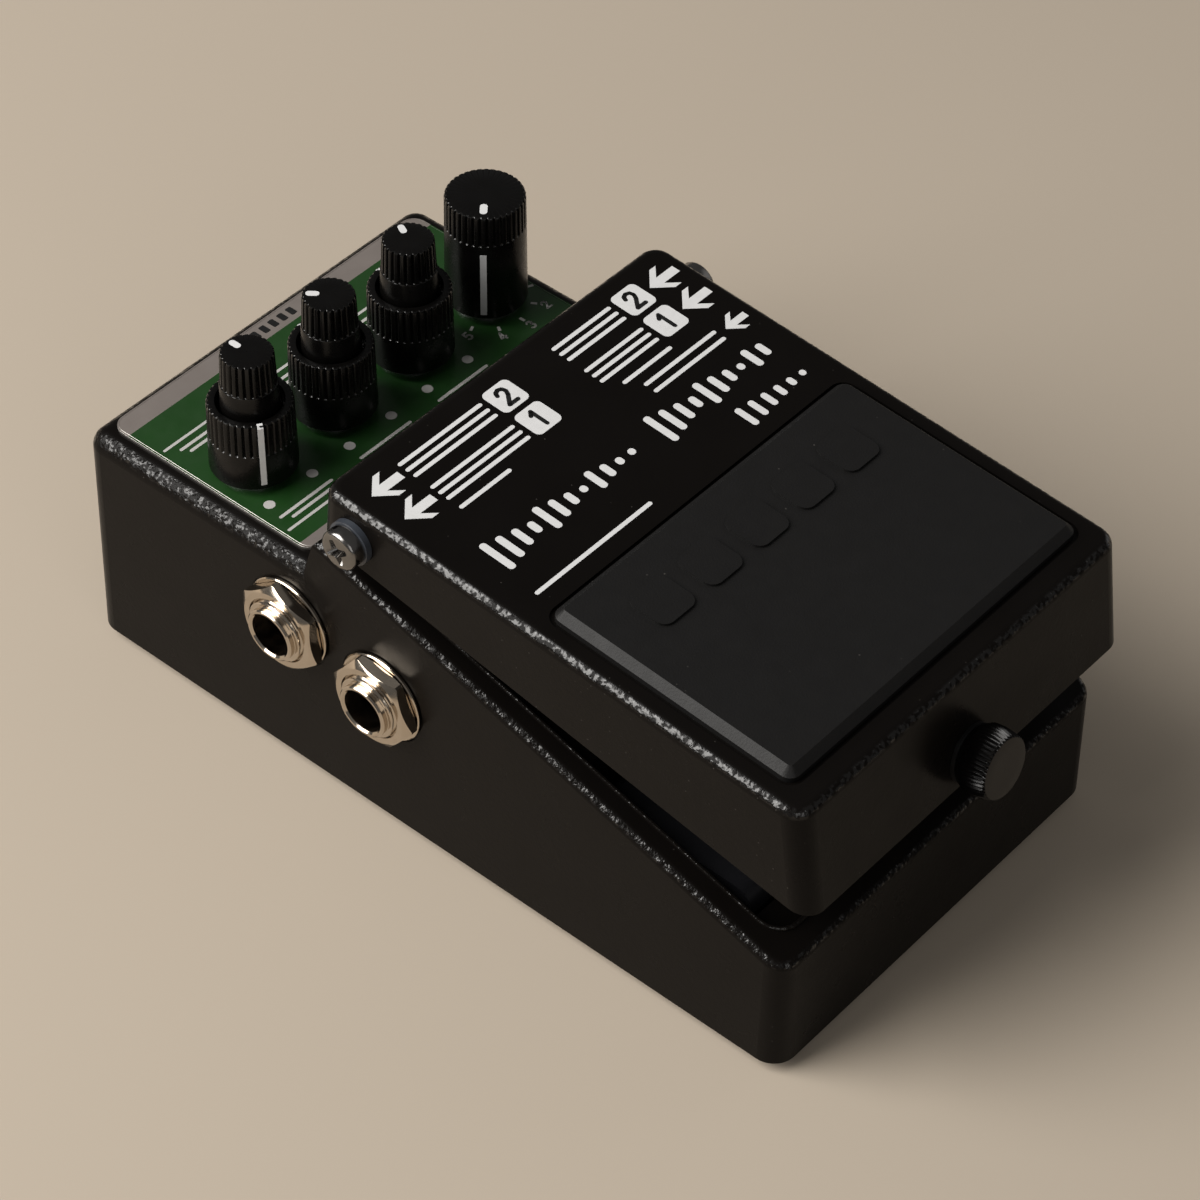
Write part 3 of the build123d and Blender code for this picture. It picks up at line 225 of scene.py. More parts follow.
paintLook = dict(dark=(0.0034, 0.0027, 0.0023), light=(0.0048, 0.0040, 0.0035), patch=90, rough=0.3,
                 roughVary=0.04, shine=0.085, dust=0.2, dustScale=800,
                 bumps=[(1300, 0.12, 0.0001), (5200, 0.3, 0.00003)])
plasticLook = dict(dark=(0.0018, 0.0016, 0.0015), light=(0.0030, 0.0027, 0.0025), patch=260, shine=0.2)
printLook = dict(patch=800, bumps=[(4200, 0.2, 0.00003)])
finishLooks = {
    "casePaint": dict(paintLook, edge=dict(coat=0.8, rough=0.1, glint=(1500, 0.5, 0.6),
                                           bumps=[(1250, 1.0, 0.00026), (2800, 0.5, 0.00008)])),
    "treadlePaint": dict(paintLook, edge=dict(coat=0.95, rough=0.1, glint=(1500, 0.42, 0.54),
                                              bumps=[(1250, 0.7, 0.00018), (3000, 0.4, 0.00004)])),
    "knobPlastic": dict(plasticLook, rough=0.28, bumps=[(5200, 0.25, 0.00003)],
                        edge=dict(coat=1.0, rough=0.12, bumps=[])),
    "thumbPlastic": dict(plasticLook, rough=0.17, roughVary=0.04, bumps=[(5200, 0.2, 0.00002)]),
    "padRubber": dict(dark=(0.0056, 0.0053, 0.0052), light=(0.0072, 0.0068, 0.0066), patch=260, rough=0.5,
                      roughVary=0.02, shine=0.26, dust=0.25, dustScale=620,
                      bumps=[(3800, 0.5, 0.00006), (900, 0.12, 0.00008)]),
    "footRubber": dict(dark=(0.012, 0.012, 0.012), light=(0.02, 0.02, 0.02), patch=120, rough=0.8,
                       shine=0.3, bumps=[(2400, 0.5, 0.0001)]),
    # nickel's own warm tint, pushed warmer and darker as a painted reflection of warm brown surroundings
    "nickelAndPaintedReflection": dict(dark=(0.50, 0.43, 0.345), light=(0.62, 0.54, 0.45), patch=420, rough=0.13,
                        roughVary=0.05, metal=1.0, bumps=[(1300, 0.04, 0.00003)]),
    "zincSteel": dict(dark=(0.42, 0.42, 0.43), light=(0.56, 0.56, 0.57), patch=210, rough=0.36,
                      roughVary=0.08, metal=1.0, bumps=[(900, 0.15, 0.00006, (1, 14, 14))]),
    "blackSteel": dict(dark=(0.030, 0.030, 0.033), light=(0.06, 0.06, 0.066), patch=380, rough=0.3,
                       roughVary=0.08, metal=0.85, bumps=[(3200, 0.15, 0.00004)]),
    "springWire": dict(dark=(0.45, 0.45, 0.46), light=(0.6, 0.6, 0.61), patch=300, rough=0.26,
                       metal=1.0, bumps=[(2500, 0.1, 0.00004)]),
    "screwNickel": dict(dark=(0.15, 0.145, 0.14), light=(0.26, 0.25, 0.24), patch=420, rough=0.2,
                        metal=1.0, bumps=[(2600, 0.15, 0.00004)]),
    "nylon": dict(dark=(0.030, 0.035, 0.044), light=(0.050, 0.057, 0.070), patch=300, rough=0.35,
                  roughVary=0.08, bumps=[(2500, 0.15, 0.00004)]),
    "blackNylon": dict(dark=(0.004, 0.004, 0.0042), light=(0.007, 0.007, 0.0072), patch=300, rough=0.5,
                       shine=0.3, bumps=[(2500, 0.15, 0.00004)]),
    "insertBrass": dict(dark=(0.5, 0.34, 0.12), light=(0.66, 0.48, 0.2), patch=260, rough=0.28,
                        metal=1.0, bumps=[(2600, 0.12, 0.00004)]),
    "boardMask": dict(dark=(0.008, 0.055, 0.022), light=(0.014, 0.085, 0.034), patch=240, rough=0.35,
                      bumps=[(1400, 0.15, 0.00005)]),
    "partPlastic": dict(dark=(0.012, 0.012, 0.013), light=(0.022, 0.022, 0.023), patch=300, rough=0.5,
                        roughVary=0.08, bumps=[(3000, 0.2, 0.00004)]),
    "shaftMetal": dict(dark=(0.55, 0.55, 0.56), light=(0.68, 0.68, 0.69), patch=260, rough=0.3,
                       metal=1.0, bumps=[(1200, 0.12, 0.00004, (1, 1, 18))]),
    "lampRed": dict(dark=(0.12, 0.004, 0.004), light=(0.2, 0.008, 0.006), patch=500, rough=0.12,
                    roughVary=0.03, coat=0.6, coatRough=0.1, bumps=[]),
    # dark battery sleeve, darkened further as painted shade so the battery seen through the gap under the
    # treadle stays black
    "batterySleeveAndPaintedShade": dict(dark=(0.006, 0.006, 0.007), light=(0.010, 0.010, 0.012), patch=140, rough=0.4,
                          shine=0.25, bumps=[(600, 0.1, 0.00006)]),
    "leadSkin": dict(dark=(0.2, 0.006, 0.005), light=(0.28, 0.01, 0.008), patch=300, rough=0.4,
                     bumps=[(2500, 0.1, 0.00004)]),
    "greyFoam": dict(dark=(0.02, 0.02, 0.021), light=(0.06, 0.06, 0.062), patch=1800, rough=0.9,
                     roughVary=0.05, shine=0.2, bumps=[(1600, 1.0, 0.0003)]),
    "amberFilm": dict(dark=(0.22, 0.14, 0.04), light=(0.3, 0.19, 0.06), patch=120, rough=0.25,
                      roughVary=0.05, bumps=[(300, 0.1, 0.0001)]),
    "whitePrint": dict(printLook, dark=(0.60, 0.60, 0.60), light=(0.70, 0.70, 0.70), rough=0.48, shine=0.4),
    "panelInk": dict(printLook, dark=(0.40, 0.39, 0.375), light=(0.48, 0.47, 0.455), rough=0.48, shine=0.3),
    "blackPrint": dict(printLook, dark=(0.006, 0.006, 0.006), light=(0.01, 0.01, 0.01), rough=0.45,
                       roughVary=0.05, shine=0.4),
    "plateEdge": dict(dark=(0.30, 0.29, 0.27), light=(0.42, 0.40, 0.38), patch=700, rough=0.4,
                      roughVary=0.08, metal=0.9, bumps=[(3000, 0.15, 0.00003)]),
}
finishes = {name: makeFinish(name, look) for name, look in finishLooks.items()}
print("finishes made:", len(finishes))

# control panel: green print between two grey strips
panelLook = dict(greenDark=(0.0072, 0.036, 0.0058), greenLight=(0.0096, 0.0465, 0.0076),
                 stripDark=(0.150, 0.130, 0.118), stripLight=(0.185, 0.162, 0.148),
                 rearStrip=54.85, frontStrip=23.4, patch=300, shine=0.45,
                 rough=0.42, roughVary=0.06, roughPatch=500, bump=(5200, 0.2, 0.00003))


def makePanelFinish(look):
    finish, tree, shader = startFinish("panelPrint")
    setInputs(shader, Specular_IOR_Level=look["shine"])
    depth = partsOf(tree, objectCoords(tree))["Y"]
    patch = noiseOf(tree, look["patch"], patchDetail)
    green = mixColour(tree, patch, look["greenDark"], look["greenLight"])
    strip = mixColour(tree, patch, look["stripDark"], look["stripLight"])
    rear = mathOf(tree, "GREATER_THAN", depth, look["rearStrip"] * mm)
    front = mathOf(tree, "LESS_THAN", depth, look["frontStrip"] * mm)
    colour = mixColour(tree, mathOf(tree, "MAXIMUM", rear, front), green, strip)
    tree.links.new(colour, shader.inputs["Base Color"])
    addRough(tree, shader, look["roughPatch"], look["rough"], look["roughVary"])
    scale, strength, distance = look["bump"]
    tree.links.new(bumpOf(tree, noiseOf(tree, scale), strength, distance), shader.inputs["Normal"])
    return finish


finishes["panelPrint"] = makePanelFinish(panelLook)

# CAD nodes of each finish
finishNodes = dict(
    casePaint=["lower_case"], treadlePaint=["treadle"], panelPrint=["control_panel"],
    padRubber=["treadle_pad"], footRubber=["base_rubber"], blackSteel=["base_screws"],
    screwNickel=["hinge_screws"], nylon=["hinge_washers"], thumbPlastic=["thumb_screw"],
    insertBrass=["thumb_insert"], springWire=["return_spring"], batterySleeveAndPaintedShade=["battery"],
    greyFoam=["battery_foam"], leadSkin=["battery_leads"], amberFilm=["insulation_sheet"], lampRed=["lamp"],
    blackNylon=["thumb_washer", "guide_bush", "spring_base", "actuator_post", "switch_plunger"],
    boardMask=["switch_board", "main_board", "control_board"],
    partPlastic=["tact_switch", "battery_snap", "board_header", "board_components", "output_jacks",
                 "input_jacks", "dc_inlet"],
    nickelAndPaintedReflection=["jack_bushings", "jack_nuts", "jack_washers", "pot_nuts"],
    zincSteel=["base_plate", "latch_bracket", "board_screws", "mode_switch", "pot_washers"],
    shaftMetal=["mode_shaft"], knobPlastic=["mode_knob"],
)
for side in knobSides:
    finishNodes["zincSteel"].append("pot_" + side)
    finishNodes["shaftMetal"] += ["outer_shaft_" + side, "inner_shaft_" + side]
    finishNodes["knobPlastic"] += ["ring_knob_" + side, "cap_knob_" + side]
for finish, names in finishNodes.items():
    for name in names:
        nodes[name].data.materials.clear()
        nodes[name].data.materials.append(finishes[finish])
print("nodes finished:", sum(len(names) for names in finishNodes.values()))


# mesh helpers
def shadeSmooth(mesh, angle):
    work = bmesh.new()
    work.from_mesh(mesh)
    for face in work.faces:
        face.smooth = True
    for edge in work.edges:
        edge.smooth = len(edge.link_faces) == 2 and edge.calc_face_angle(0) < radians(angle)
    work.to_mesh(mesh)
    work.free()


def meshObject(name, points, faces):
    mesh = bpy.data.meshes.new(name)
    mesh.from_pydata(points, [], faces)
    mesh.validate()
    work = bmesh.new()
    work.from_mesh(mesh)
    bmesh.ops.recalc_face_normals(work, faces=work.faces)
    # thin strips can turn inside out
    if work.calc_volume(signed=True) < 0:
        bmesh.ops.reverse_faces(work, faces=work.faces)
    work.to_mesh(mesh)
    work.free()
    obj = bpy.data.objects.new(name, mesh)
    bpy.context.scene.collection.objects.link(obj)
    return obj


def addPiece(name, points, faces, finish, body, smooth=None):
    obj = meshObject(name, points, faces)
    if smooth is not None:
        shadeSmooth(obj.data, smooth)
    obj.data.materials.append(finishes[finish])
    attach(obj, body)
    return obj


# faces between rings of points: the last ring meets the first one, or both ends are capped
def ringFaces(rings, count, closed=True, start=0):
    faces = []
    for i in range(rings if closed else rings - 1):
        a, b = start + i * count, start + (i + 1) % rings * count
        for k in range(count):
            m = (k + 1) % count
            faces.append((a + k, b + k, b + m, a + m))
    if not closed:
        last = start + (rings - 1) * count
        faces += [tuple(range(start, start + count)), tuple(range(last, last + count))]
    return faces


def joinMeshes(parts):
    points, faces = [], []
    for partPoints, partFaces in parts:
        start = len(points)
        points += partPoints
        faces += [tuple(start + k for k in face) for face in partFaces]
    return points, faces


def polar(r, angle, z):
    return Vector((r * cos(angle), r * sin(angle), z)) * mm


# closed ring of a profile turned about Z: a row is a radius, a height and, where it has flutes, their depth
def turnedMesh(profile, segments, place, wave=None):
    points = []
    for i in range(segments):
        angle = 2 * pi * i / segments
        for r, z, *groove in profile:
            reach = r - (groove[0] * wave(angle) if groove else 0)
            points.append(place @ polar(reach, angle, z))
    return points, ringFaces(segments, len(profile))


# groove shape between ribs: 0 on a rib, 1 at the bottom of a groove
def grooveWave(count, sharp):
    return lambda angle: (0.5 - 0.5 * cos(count * angle)) ** sharp


# frame whose Z runs along out, with its origin at spot
def frameOf(right, out, spot):
    right, out = Vector(right), Vector(out)
    m = Matrix((right, out.cross(right), out)).transposed().to_4x4()
    m.translation = spot
    return m


def centreOf(node):
    low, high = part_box(node)
    return (low + high) / 2


# stacked knobs and mode knob
ringDims = dict(base=6.0, top=5.8, fluteShare=0.49, flutes=36, fluteDepth=0.3, well=4.6, wellDepth=3.2,
                nutWell=5.2, nutDepth=2.0, bore=2.62, edge=0.35)
capDims = dict(collar=4.05, collarTop=3.86, root=3.78, top=3.58, collarHeight=5.8, flutes=24,
               fluteDepth=0.34, bore=1.57, boreDepth=5.3, edge=0.32)
modeDims = dict(base=5.8, top=5.6, fluteShare=0.281, flutes=36, fluteDepth=0.28, nutWell=5.2, nutDepth=2.0,
                bore=2.92, boreDepth=5.0, edge=0.35)
# feet: the hollow round at the lower end of the grooves, by rise and share of the groove's depth
fluteDims = dict(axis=0.05, segments=12, sharp=4.0, feet=((0.04, 0.4), (0.11, 0.7), (0.21, 0.9), (0.36, 1.0)))
# roundings: inset and rise of the skirt's foot, the rim's inset, drop and share of the groove, the well's lip
skirtSoft = dict(foot=0.2, bend=0.06, slack=0.02, rim=0.12, rimDrop=0.1, rimGroove=0.75)
wellSoft = dict(lip=0.2, bend=0.05, bendDrop=0.06, fillet=0.1)
capSoft = dict(collar=0.1, collarLip=0.03, rim=0.1, rimDrop=0.08, rimGroove=0.7)


def taper(lowRadius, highRadius, low, high):
    return lambda z: lowRadius + (highRadius - lowRadius) * (z - low) / (high - low)


def grooveFoot(side, z, groove):
    return [(side(z + rise), z + rise, groove * share) for rise, share in fluteDims["feet"]]


# outer side of a knob with a plain skirt below its flutes, from its foot to its top
def skirtedSide(d, low, high):
    side = taper(d["base"], d["top"], low, high)
    fluteLow = high - d["fluteShare"] * (high - low)
    groove = d["fluteDepth"]
    soft = skirtSoft
    foot, bend, rim = low + soft["foot"], low + soft["bend"], high - d["edge"] - soft["slack"]
    skirtTop = fluteLow - soft["bend"]
    return [
        (d["nutWell"], low), (d["base"] - soft["foot"], low), (side(bend) - soft["bend"], bend),
        (side(foot), foot), (side(skirtTop), skirtTop), (side(fluteLow), fluteLow),
        *grooveFoot(side, fluteLow, groove), (side(rim), rim, groove),
        (d["top"] - soft["rim"], high - soft["rimDrop"], groove * soft["rimGroove"]),
        (d["top"] - d["edge"], high),
    ]


def ringProfile(d, low, high):
    floor = high - d["wellDepth"]
    nutTop = low + d["nutDepth"]
    well, soft = d["well"], wellSoft
    return skirtedSide(d, low, high) + [
        (well + soft["lip"], high), (well + soft["bend"], high - soft["bendDrop"]),
        (well, high - soft["lip"]), (well, floor + soft["fillet"]), (well - soft["fillet"], floor),
        (d["bore"], floor), (d["bore"], nutTop), (d["nutWell"], nutTop),
    ]


def modeProfile(d, low, high):
    nutTop = low + d["nutDepth"]
    deep = nutTop + d["boreDepth"]
    axis = fluteDims["axis"]
    return skirtedSide(d, low, high) + [
        (d["top"] / 2, high), (axis, high), (axis, deep), (d["bore"], deep), (d["bore"], nutTop),
        (d["nutWell"], nutTop),
    ]


def capProfile(d, low, high):
    collarTop = low + d["collarHeight"]
    side = taper(d["root"], d["top"], collarTop, high)
    groove = d["fluteDepth"]
    rim = high - d["edge"]
    deep = low + d["boreDepth"]
    soft, axis = capSoft, fluteDims["axis"]
    return [
        (d["bore"], low), (d["collar"] - soft["collar"], low), (d["collar"], low + soft["collar"]),
        (d["collarTop"] + soft["collarLip"], collarTop - soft["collar"]), (d["collarTop"], collarTop),
        *grooveFoot(side, collarTop, groove), (side(rim), rim, groove),
        (d["top"] - soft["rim"], high - soft["rimDrop"], groove * soft["rimGroove"]),
        (d["top"] - d["edge"], high), (d["top"] / 2, high), (axis, high), (axis, deep), (d["bore"], deep),
    ]


def makeKnob(node, body, profileOf, dims):
    low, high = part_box(node)
    middle = (low + high) / 2
    profile = profileOf(dims, low.z / mm, high.z / mm)
    place = Matrix.Translation((middle.x, middle.y, 0))
    wave = grooveWave(dims["flutes"], fluteDims["sharp"])
    points, faces = turnedMesh(profile, dims["flutes"] * fluteDims["segments"], place, wave)
    piece = addPiece(node + "_moulded", points, faces, "knobPlastic", body, smooth=32)
    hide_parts(node)


for side in knobSides:
    makeKnob("ring_knob_" + side, "ring_" + side, ringProfile, ringDims)
    makeKnob("cap_knob_" + side, "cap_" + side, capProfile, capDims)
makeKnob("mode_knob", "mode", modeProfile, modeDims)
print("knobs turned: 7")

# pointer marks on the knobs: degrees clockwise from the rear, as the player sees them
pointerAngles = dict(ring_left=212, ring_middle=0, ring_right=0, cap_left=0, cap_middle=-39, cap_right=26,
                     mode=231)
# points of a line: a radius and its offset, a height and its offset
pointerDims = dict(proud=0.05, lineSunk=0.3, dashSunk=0.1, ringWidth=0.78, modeWidth=0.9,
                   capDash=(1.2, 3.05, 0.95), modeDash=(2.35, 4.5, 1.05), endSteps=8,
                   ringLine=(("base", -0.03, "low", 0.75), ("top", 0.02, "high", -0.35),
                             ("top", -0.36, "high", 0.01), ("well", 0.25, "high", 0.01)),
                   modeLine=(("base", -0.02, "low", 0.75), ("base", -0.12, "flutes", -1.35)))


# direction away from a knob's axis, and the one across it
def headingOf(angle):
    turn = radians(angle)
    return Vector((sin(turn), cos(turn), 0)), Vector((cos(turn), -sin(turn), 0))


# strip down a knob's side
def addStrip(name, body, node, dims, kind):
    d = pointerDims
    line, width = d[kind + "Line"], d[kind + "Width"]
    out, across = headingOf(pointerAngles[body])
    middle = centreOf(node)
    low, high = (end.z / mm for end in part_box(node))
    heights = dict(low=low, high=high, flutes=high - dims["fluteShare"] * (high - low))
    points = []
    for size, offset, level, rise in line:
        base = Vector((middle.x, middle.y, (heights[level] + rise) * mm)) + out * (dims[size] + offset) * mm
        for sideways, lift in ((-0.5, -1), (-0.5, 1), (0.5, 1), (0.5, -1)):
            reach = d["proud"] if lift > 0 else -d["lineSunk"]
            points.append(base + across * sideways * width * mm + out * reach * mm)
    addPiece(name, points, ringFaces(len(line), 4, False), "whitePrint", body)


# rounded dash that lies on a knob's top
def addDash(name, body, node, dash):
    out, across = headingOf(pointerAngles[body])
    inner, outer, width = dash
    half, steps = width / 2, pointerDims["endSteps"]
    outline = []
    for end, turn in ((outer - half, 0), (inner + half, 180)):
        for k in range(steps + 1):
            a = radians(turn - 90 + k * 180 / steps)
            outline.append((end + half * cos(a), half * sin(a)))
    base = centreOf(node)
    points = []
    for lift in (-pointerDims["dashSunk"], pointerDims["proud"]):
        base.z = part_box(node)[1].z + lift * mm
        points += [base + (out * u + across * v) * mm for u, v in outline]
    addPiece(name, points, ringFaces(2, len(outline), False), "whitePrint", body)


for side in knobSides:
    addStrip("ring_line_" + side, "ring_" + side, "ring_knob_" + side, ringDims, "ring")
    addDash("cap_dash_" + side, "cap_" + side, "cap_knob_" + side, pointerDims["capDash"])
addDash("mode_dash", "mode", "mode_knob", pointerDims["modeDash"])
addStrip("mode_line", "mode", "mode_knob", modeDims, "mode")
print("pointer marks placed")

# flat prints
printLift = 0.03
printSunk = 0.05
treadleTop = dict(frontY=-61.5, frontZ=48.4, tilt=radians(4.39))
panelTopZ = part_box("control_panel")[1].z / mm


def onTreadle(x, y, lift):
    tilt = treadleTop["tilt"]
    z = treadleTop["frontZ"] + (y - treadleTop["frontY"]) * tan(tilt)
    return (Vector((x, y, z)) + Vector((0, -sin(tilt), cos(tilt))) * lift) * mm


def onPanel(x, y, lift):
    return Vector((x, y, panelTopZ + lift)) * mm


# thin raised print from outlines in plan
def addPrint(name, outlines, surface, finish, body, lift=printLift):
    points, faces = [], []
    for outline in outlines:
        faces += ringFaces(2, len(outline), False, len(points))
        for height in (-printSunk, lift):
            points += [surface(x, y, height) for x, y in outline]
    addPiece(name, points, faces, finish, body)


def addTreadlePrint(name, outlines, finish="whitePrint", lift=printLift):
    addPrint(name, outlines, onTreadle, finish, "treadle", lift)


def roundedRect(x0, y0, x1, y1, r, steps=6):
    outline = []
    middles = ((x1 - r, y1 - r), (x0 + r, y1 - r), (x0 + r, y0 + r), (x1 - r, y0 + r))
    for quarter, (x, y) in enumerate(middles):
        for k in range(steps + 1):
            a = radians(90 * (quarter + k / steps))
            outline.append((x + r * cos(a), y + r * sin(a)))
    return outline


def roundedBar(x, y, halfX, halfY, r, steps=6):
    return roundedRect(x - halfX, y - halfY, x + halfX, y + halfY, r, steps)


def disc(x, y, r, steps=28):
    return [(x + r * cos(2 * pi * k / steps), y + r * sin(2 * pi * k / steps)) for k in range(steps)]


# arrows: shares of the half height and of the widths, then length, half height and stem, then each tip
arrowDims = dict(run=1.12, stroke=0.95, barb=0.95, notch=1.15, web=0.42,
                 large=(5.4, 2.3, 1.4), small=(4.15, 1.75, 1.1),
                 tips=((-29.3, 10.2, "large"), (-29.3, 4.6, "large"), (24.8, 10.3, "large"),
                       (24.8, 4.6, "large"), (25.9, -1.9, "small")))


# head with slanted strokes, then a plain stem
def arrow(d, tipX, y, length, half, stem):
    thick = stem * d["stroke"]
    run = half * d["run"]
    barb = run + thick * d["barb"]
    notch = thick * d["notch"] + stem * d["web"]
    return [
        (tipX, y), (tipX + run, y + half), (tipX + barb, y + half), (tipX + notch, y + stem / 2),
        (tipX + length, y + stem / 2), (tipX + length, y - stem / 2), (tipX + notch, y - stem / 2),
        (tipX + barb, y - half), (tipX + run, y - half),
    ]


# plain figures from strokes, in a box that is 0.6 wide and 1 high
figureStrokes = {
    1: [[(0.14, 0.78), (0.34, 1.0), (0.34, 0.0)]],
    2: [[(0.02, 0.74), (0.10, 0.92), (0.30, 1.0), (0.50, 0.92), (0.56, 0.72), (0.46, 0.50), (0.02, 0.0),
         (0.58, 0.0)]],
    3: [[(0.04, 0.86), (0.22, 1.0), (0.44, 0.96), (0.54, 0.76), (0.44, 0.56), (0.24, 0.53)],
        [(0.24, 0.53), (0.48, 0.46), (0.57, 0.26), (0.44, 0.04), (0.20, 0.0), (0.02, 0.14)]],
    4: [[(0.44, 0.0), (0.44, 1.0), (0.02, 0.30), (0.60, 0.30)]],
    5: [[(0.52, 1.0), (0.10, 1.0), (0.06, 0.52), (0.30, 0.62), (0.52, 0.50), (0.56, 0.28), (0.42, 0.05),
         (0.20, 0.0), (0.02, 0.12)]],
    6: [[(0.48, 0.96), (0.22, 0.84), (0.06, 0.50), (0.06, 0.24), (0.20, 0.02), (0.42, 0.02), (0.56, 0.20),
         (0.54, 0.42), (0.38, 0.56), (0.18, 0.52), (0.07, 0.34)]],
    7: [[(0.02, 1.0), (0.56, 1.0), (0.20, 0.0)]],
    8: [[(0.29, 0.53), (0.10, 0.66), (0.10, 0.88), (0.29, 1.0), (0.48, 0.88), (0.48, 0.66), (0.29, 0.53),
         (0.06, 0.36), (0.06, 0.12), (0.29, 0.0), (0.52, 0.12), (0.52, 0.36), (0.29, 0.53)]],
    9: [[(0.12, 0.04), (0.38, 0.16), (0.54, 0.50), (0.54, 0.76), (0.40, 0.98), (0.18, 0.98), (0.04, 0.80),
         (0.06, 0.58), (0.22, 0.44), (0.42, 0.48), (0.53, 0.66)]],
    0: [[(0.29, 0.0), (0.10, 0.14), (0.05, 0.5), (0.10, 0.86), (0.29, 1.0), (0.48, 0.86), (0.53, 0.5),
         (0.48, 0.14), (0.29, 0.0)]],
}
figureBox = 0.6
figureStep = 0.72


# one quad for each run and one disc at each point, so corners are round
def strokeOutlines(line, width):
    outlines = []
    for (x0, y0), (x1, y1) in zip(line, line[1:]):
        run = hypot(x1 - x0, y1 - y0)
        nx, ny = -(y1 - y0) / run * width / 2, (x1 - x0) / run * width / 2
        outlines.append([(x0 + nx, y0 + ny), (x1 + nx, y1 + ny), (x1 - nx, y1 - ny), (x0 - nx, y0 - ny)])
    return outlines + [disc(x, y, width / 2, steps=10) for x, y in line]


def figure(number, x, y, height, width):
    digits = [int(c) for c in str(number)]
    total = figureStep * (len(digits) - 1) + figureBox
    outlines = []
    for i, digit in enumerate(digits):
        left, foot = x + (i * figureStep - total / 2) * height, y - height / 2
        for stroke in figureStrokes[digit]:
            outlines += strokeOutlines([(left + u * height, foot + v * height) for u, v in stroke], width)
    return outlines


# treadle print: arrows and numbered boxes (x, y, number)
boxDims = dict(halfX=2.4, halfY=2.35, corner=0.85, figureHeight=2.9, figureWidth=0.62, figureLift=0.055,
               places=((-4.06, 10.25, 2), (-4.06, 4.65, 1), (21.5, 10.35, 2), (21.5, 4.7, 1)))
arrows = [arrow(arrowDims, x, y, *arrowDims[size]) for x, y, size in arrowDims["tips"]]
addTreadlePrint("treadle_arrows", arrows)
boxes, figures = [], []
d = boxDims
for x, y, number in d["places"]:
    boxes.append(roundedBar(x, y, d["halfX"], d["halfY"], d["corner"]))
    figures += figure(number, x, y, d["figureHeight"], d["figureWidth"])
addTreadlePrint("treadle_boxes", boxes)
addTreadlePrint("treadle_figures", figures, "blackPrint", d["figureLift"])

# ruled bars where the words are: left, front, right, rear and number of bars
labelDims = dict(thick=0.62, spare=0.6, corner=0.49, cornerSteps=4,
                 zones=((-23.0, 8.5, -7.3, 11.8, 3), (-23.0, 2.9, -7.3, 6.2, 3), (6.6, 8.6, 18.2, 11.9, 3),
                        (6.6, 2.95, 18.2, 6.25, 3), (-23.0, 0.3, -13.4, 1.7, 1), (8.5, 0.3, 18.2, 1.7, 1),
                        (10.2, -3.2, 24.6, -0.9, 2), (-27.3, -16.3, -5.2, -14.6, 1)))
d = labelDims
bars = []
for x0, y0, x1, y1, count in d["zones"]:
    thick = min(d["thick"], (y1 - y0) / (2 * count - d["spare"]))
    corner = thick * d["corner"]
    for k in range(count):
        y = y0 + thick / 2 + (y1 - y0 - thick) * (k / (count - 1) if count > 1 else 0.5)
        bars.append(roundedRect(x0, y - thick / 2, x1, y + thick / 2, corner, d["cornerSteps"]))
addTreadlePrint("treadle_bars", bars)

# fading repeats where the large title is: groups of upright bars that grow shorter
repeatDims = dict(zones=((-27.0, 1.0, 12), (4.5, 27.6, 10)), y=-7.85, tallest=2.85, halfWidth=0.55,
                  corner=0.5, group=4, fade=0.82, groupFade=0.22)
d = repeatDims
repeats = []
for x0, x1, count in d["zones"]:
    for k in range(count):
        share = 1.0 - d["fade"] * (k % d["group"] / d["group"] + k // d["group"] * d["groupFade"])
        half = max(d["halfWidth"], d["tallest"] * share)
        x = x0 + (x1 - x0) / count * (k + 0.5)
        repeats.append(roundedBar(x, d["y"], d["halfWidth"], half, d["corner"], 5))
addTreadlePrint("treadle_repeats", repeats)
ladderDims = dict(count=6, x=15.2, step=2.3, y=-14.3, tallest=1.9, fall=0.28, halfWidth=0.5, corner=0.45)
d = ladderDims
ladder = []
for k in range(d["count"]):
    half = d["tallest"] - d["fall"] * k
    ladder.append(roundedBar(d["x"] + d["step"] * k, d["y"], d["halfWidth"], half, d["corner"], 5))
addTreadlePrint("treadle_ladder", ladder)
print("treadle print placed")

# panel print: dots and rules (y, half length, half width, corner) for each stacked knob
markDims = dict(dotRadius=0.8, dotSpread=4.05, dotY=31.4,
                rules=((49.1, 6.0, 0.225, 0.2), (26.1, 6.0, 0.225, 0.2), (47.6, 4.4, 0.25, 0.24),
                       (46.5, 3.6, 0.25, 0.24), (28.6, 5.0, 0.25, 0.24), (27.5, 3.8, 0.25, 0.24)))
d = markDims
marks = []
for side in knobSides:
    x = centreOf("ring_knob_" + side).x / mm
    for dotX in (x - d["dotSpread"], x + d["dotSpread"]):
        marks.append(disc(dotX, d["dotY"], d["dotRadius"]))
    for y, halfX, halfY, corner in d["rules"]:
        marks.append(roundedBar(x, y, halfX, halfY, corner, 3))

# ticks and numbers round the mode knob, clockwise from the rear: the third one faces the player
dial = dict(tickInner=6.25, tickOuter=7.15, tickWidth=0.42, figureReach=8.35, figureHeight=1.45,
            figureWidth=0.3, positions=11, facing=2, rightLimit=29.3)
modeMiddle = centreOf("mode_knob") / mm
for k in range(dial["positions"]):
    out, across = headingOf(180 + (k - dial["facing"]) * 360 / dial["positions"])
    corners = []
    for end, sideways in (("tickInner", -1), ("tickOuter", -1), ("tickOuter", 1), ("tickInner", 1)):
        spot = modeMiddle + out * dial[end] + across * sideways * dial["tickWidth"] / 2
        corners.append((spot.x, spot.y))
    marks.append(corners)
    spot = modeMiddle + out * dial["figureReach"]
    if spot.x < dial["rightLimit"]:
        marks += figure(k + 1, spot.x, spot.y, dial["figureHeight"], dial["figureWidth"])
addPrint("panel_marks", marks, onPanel, "panelInk", "case")
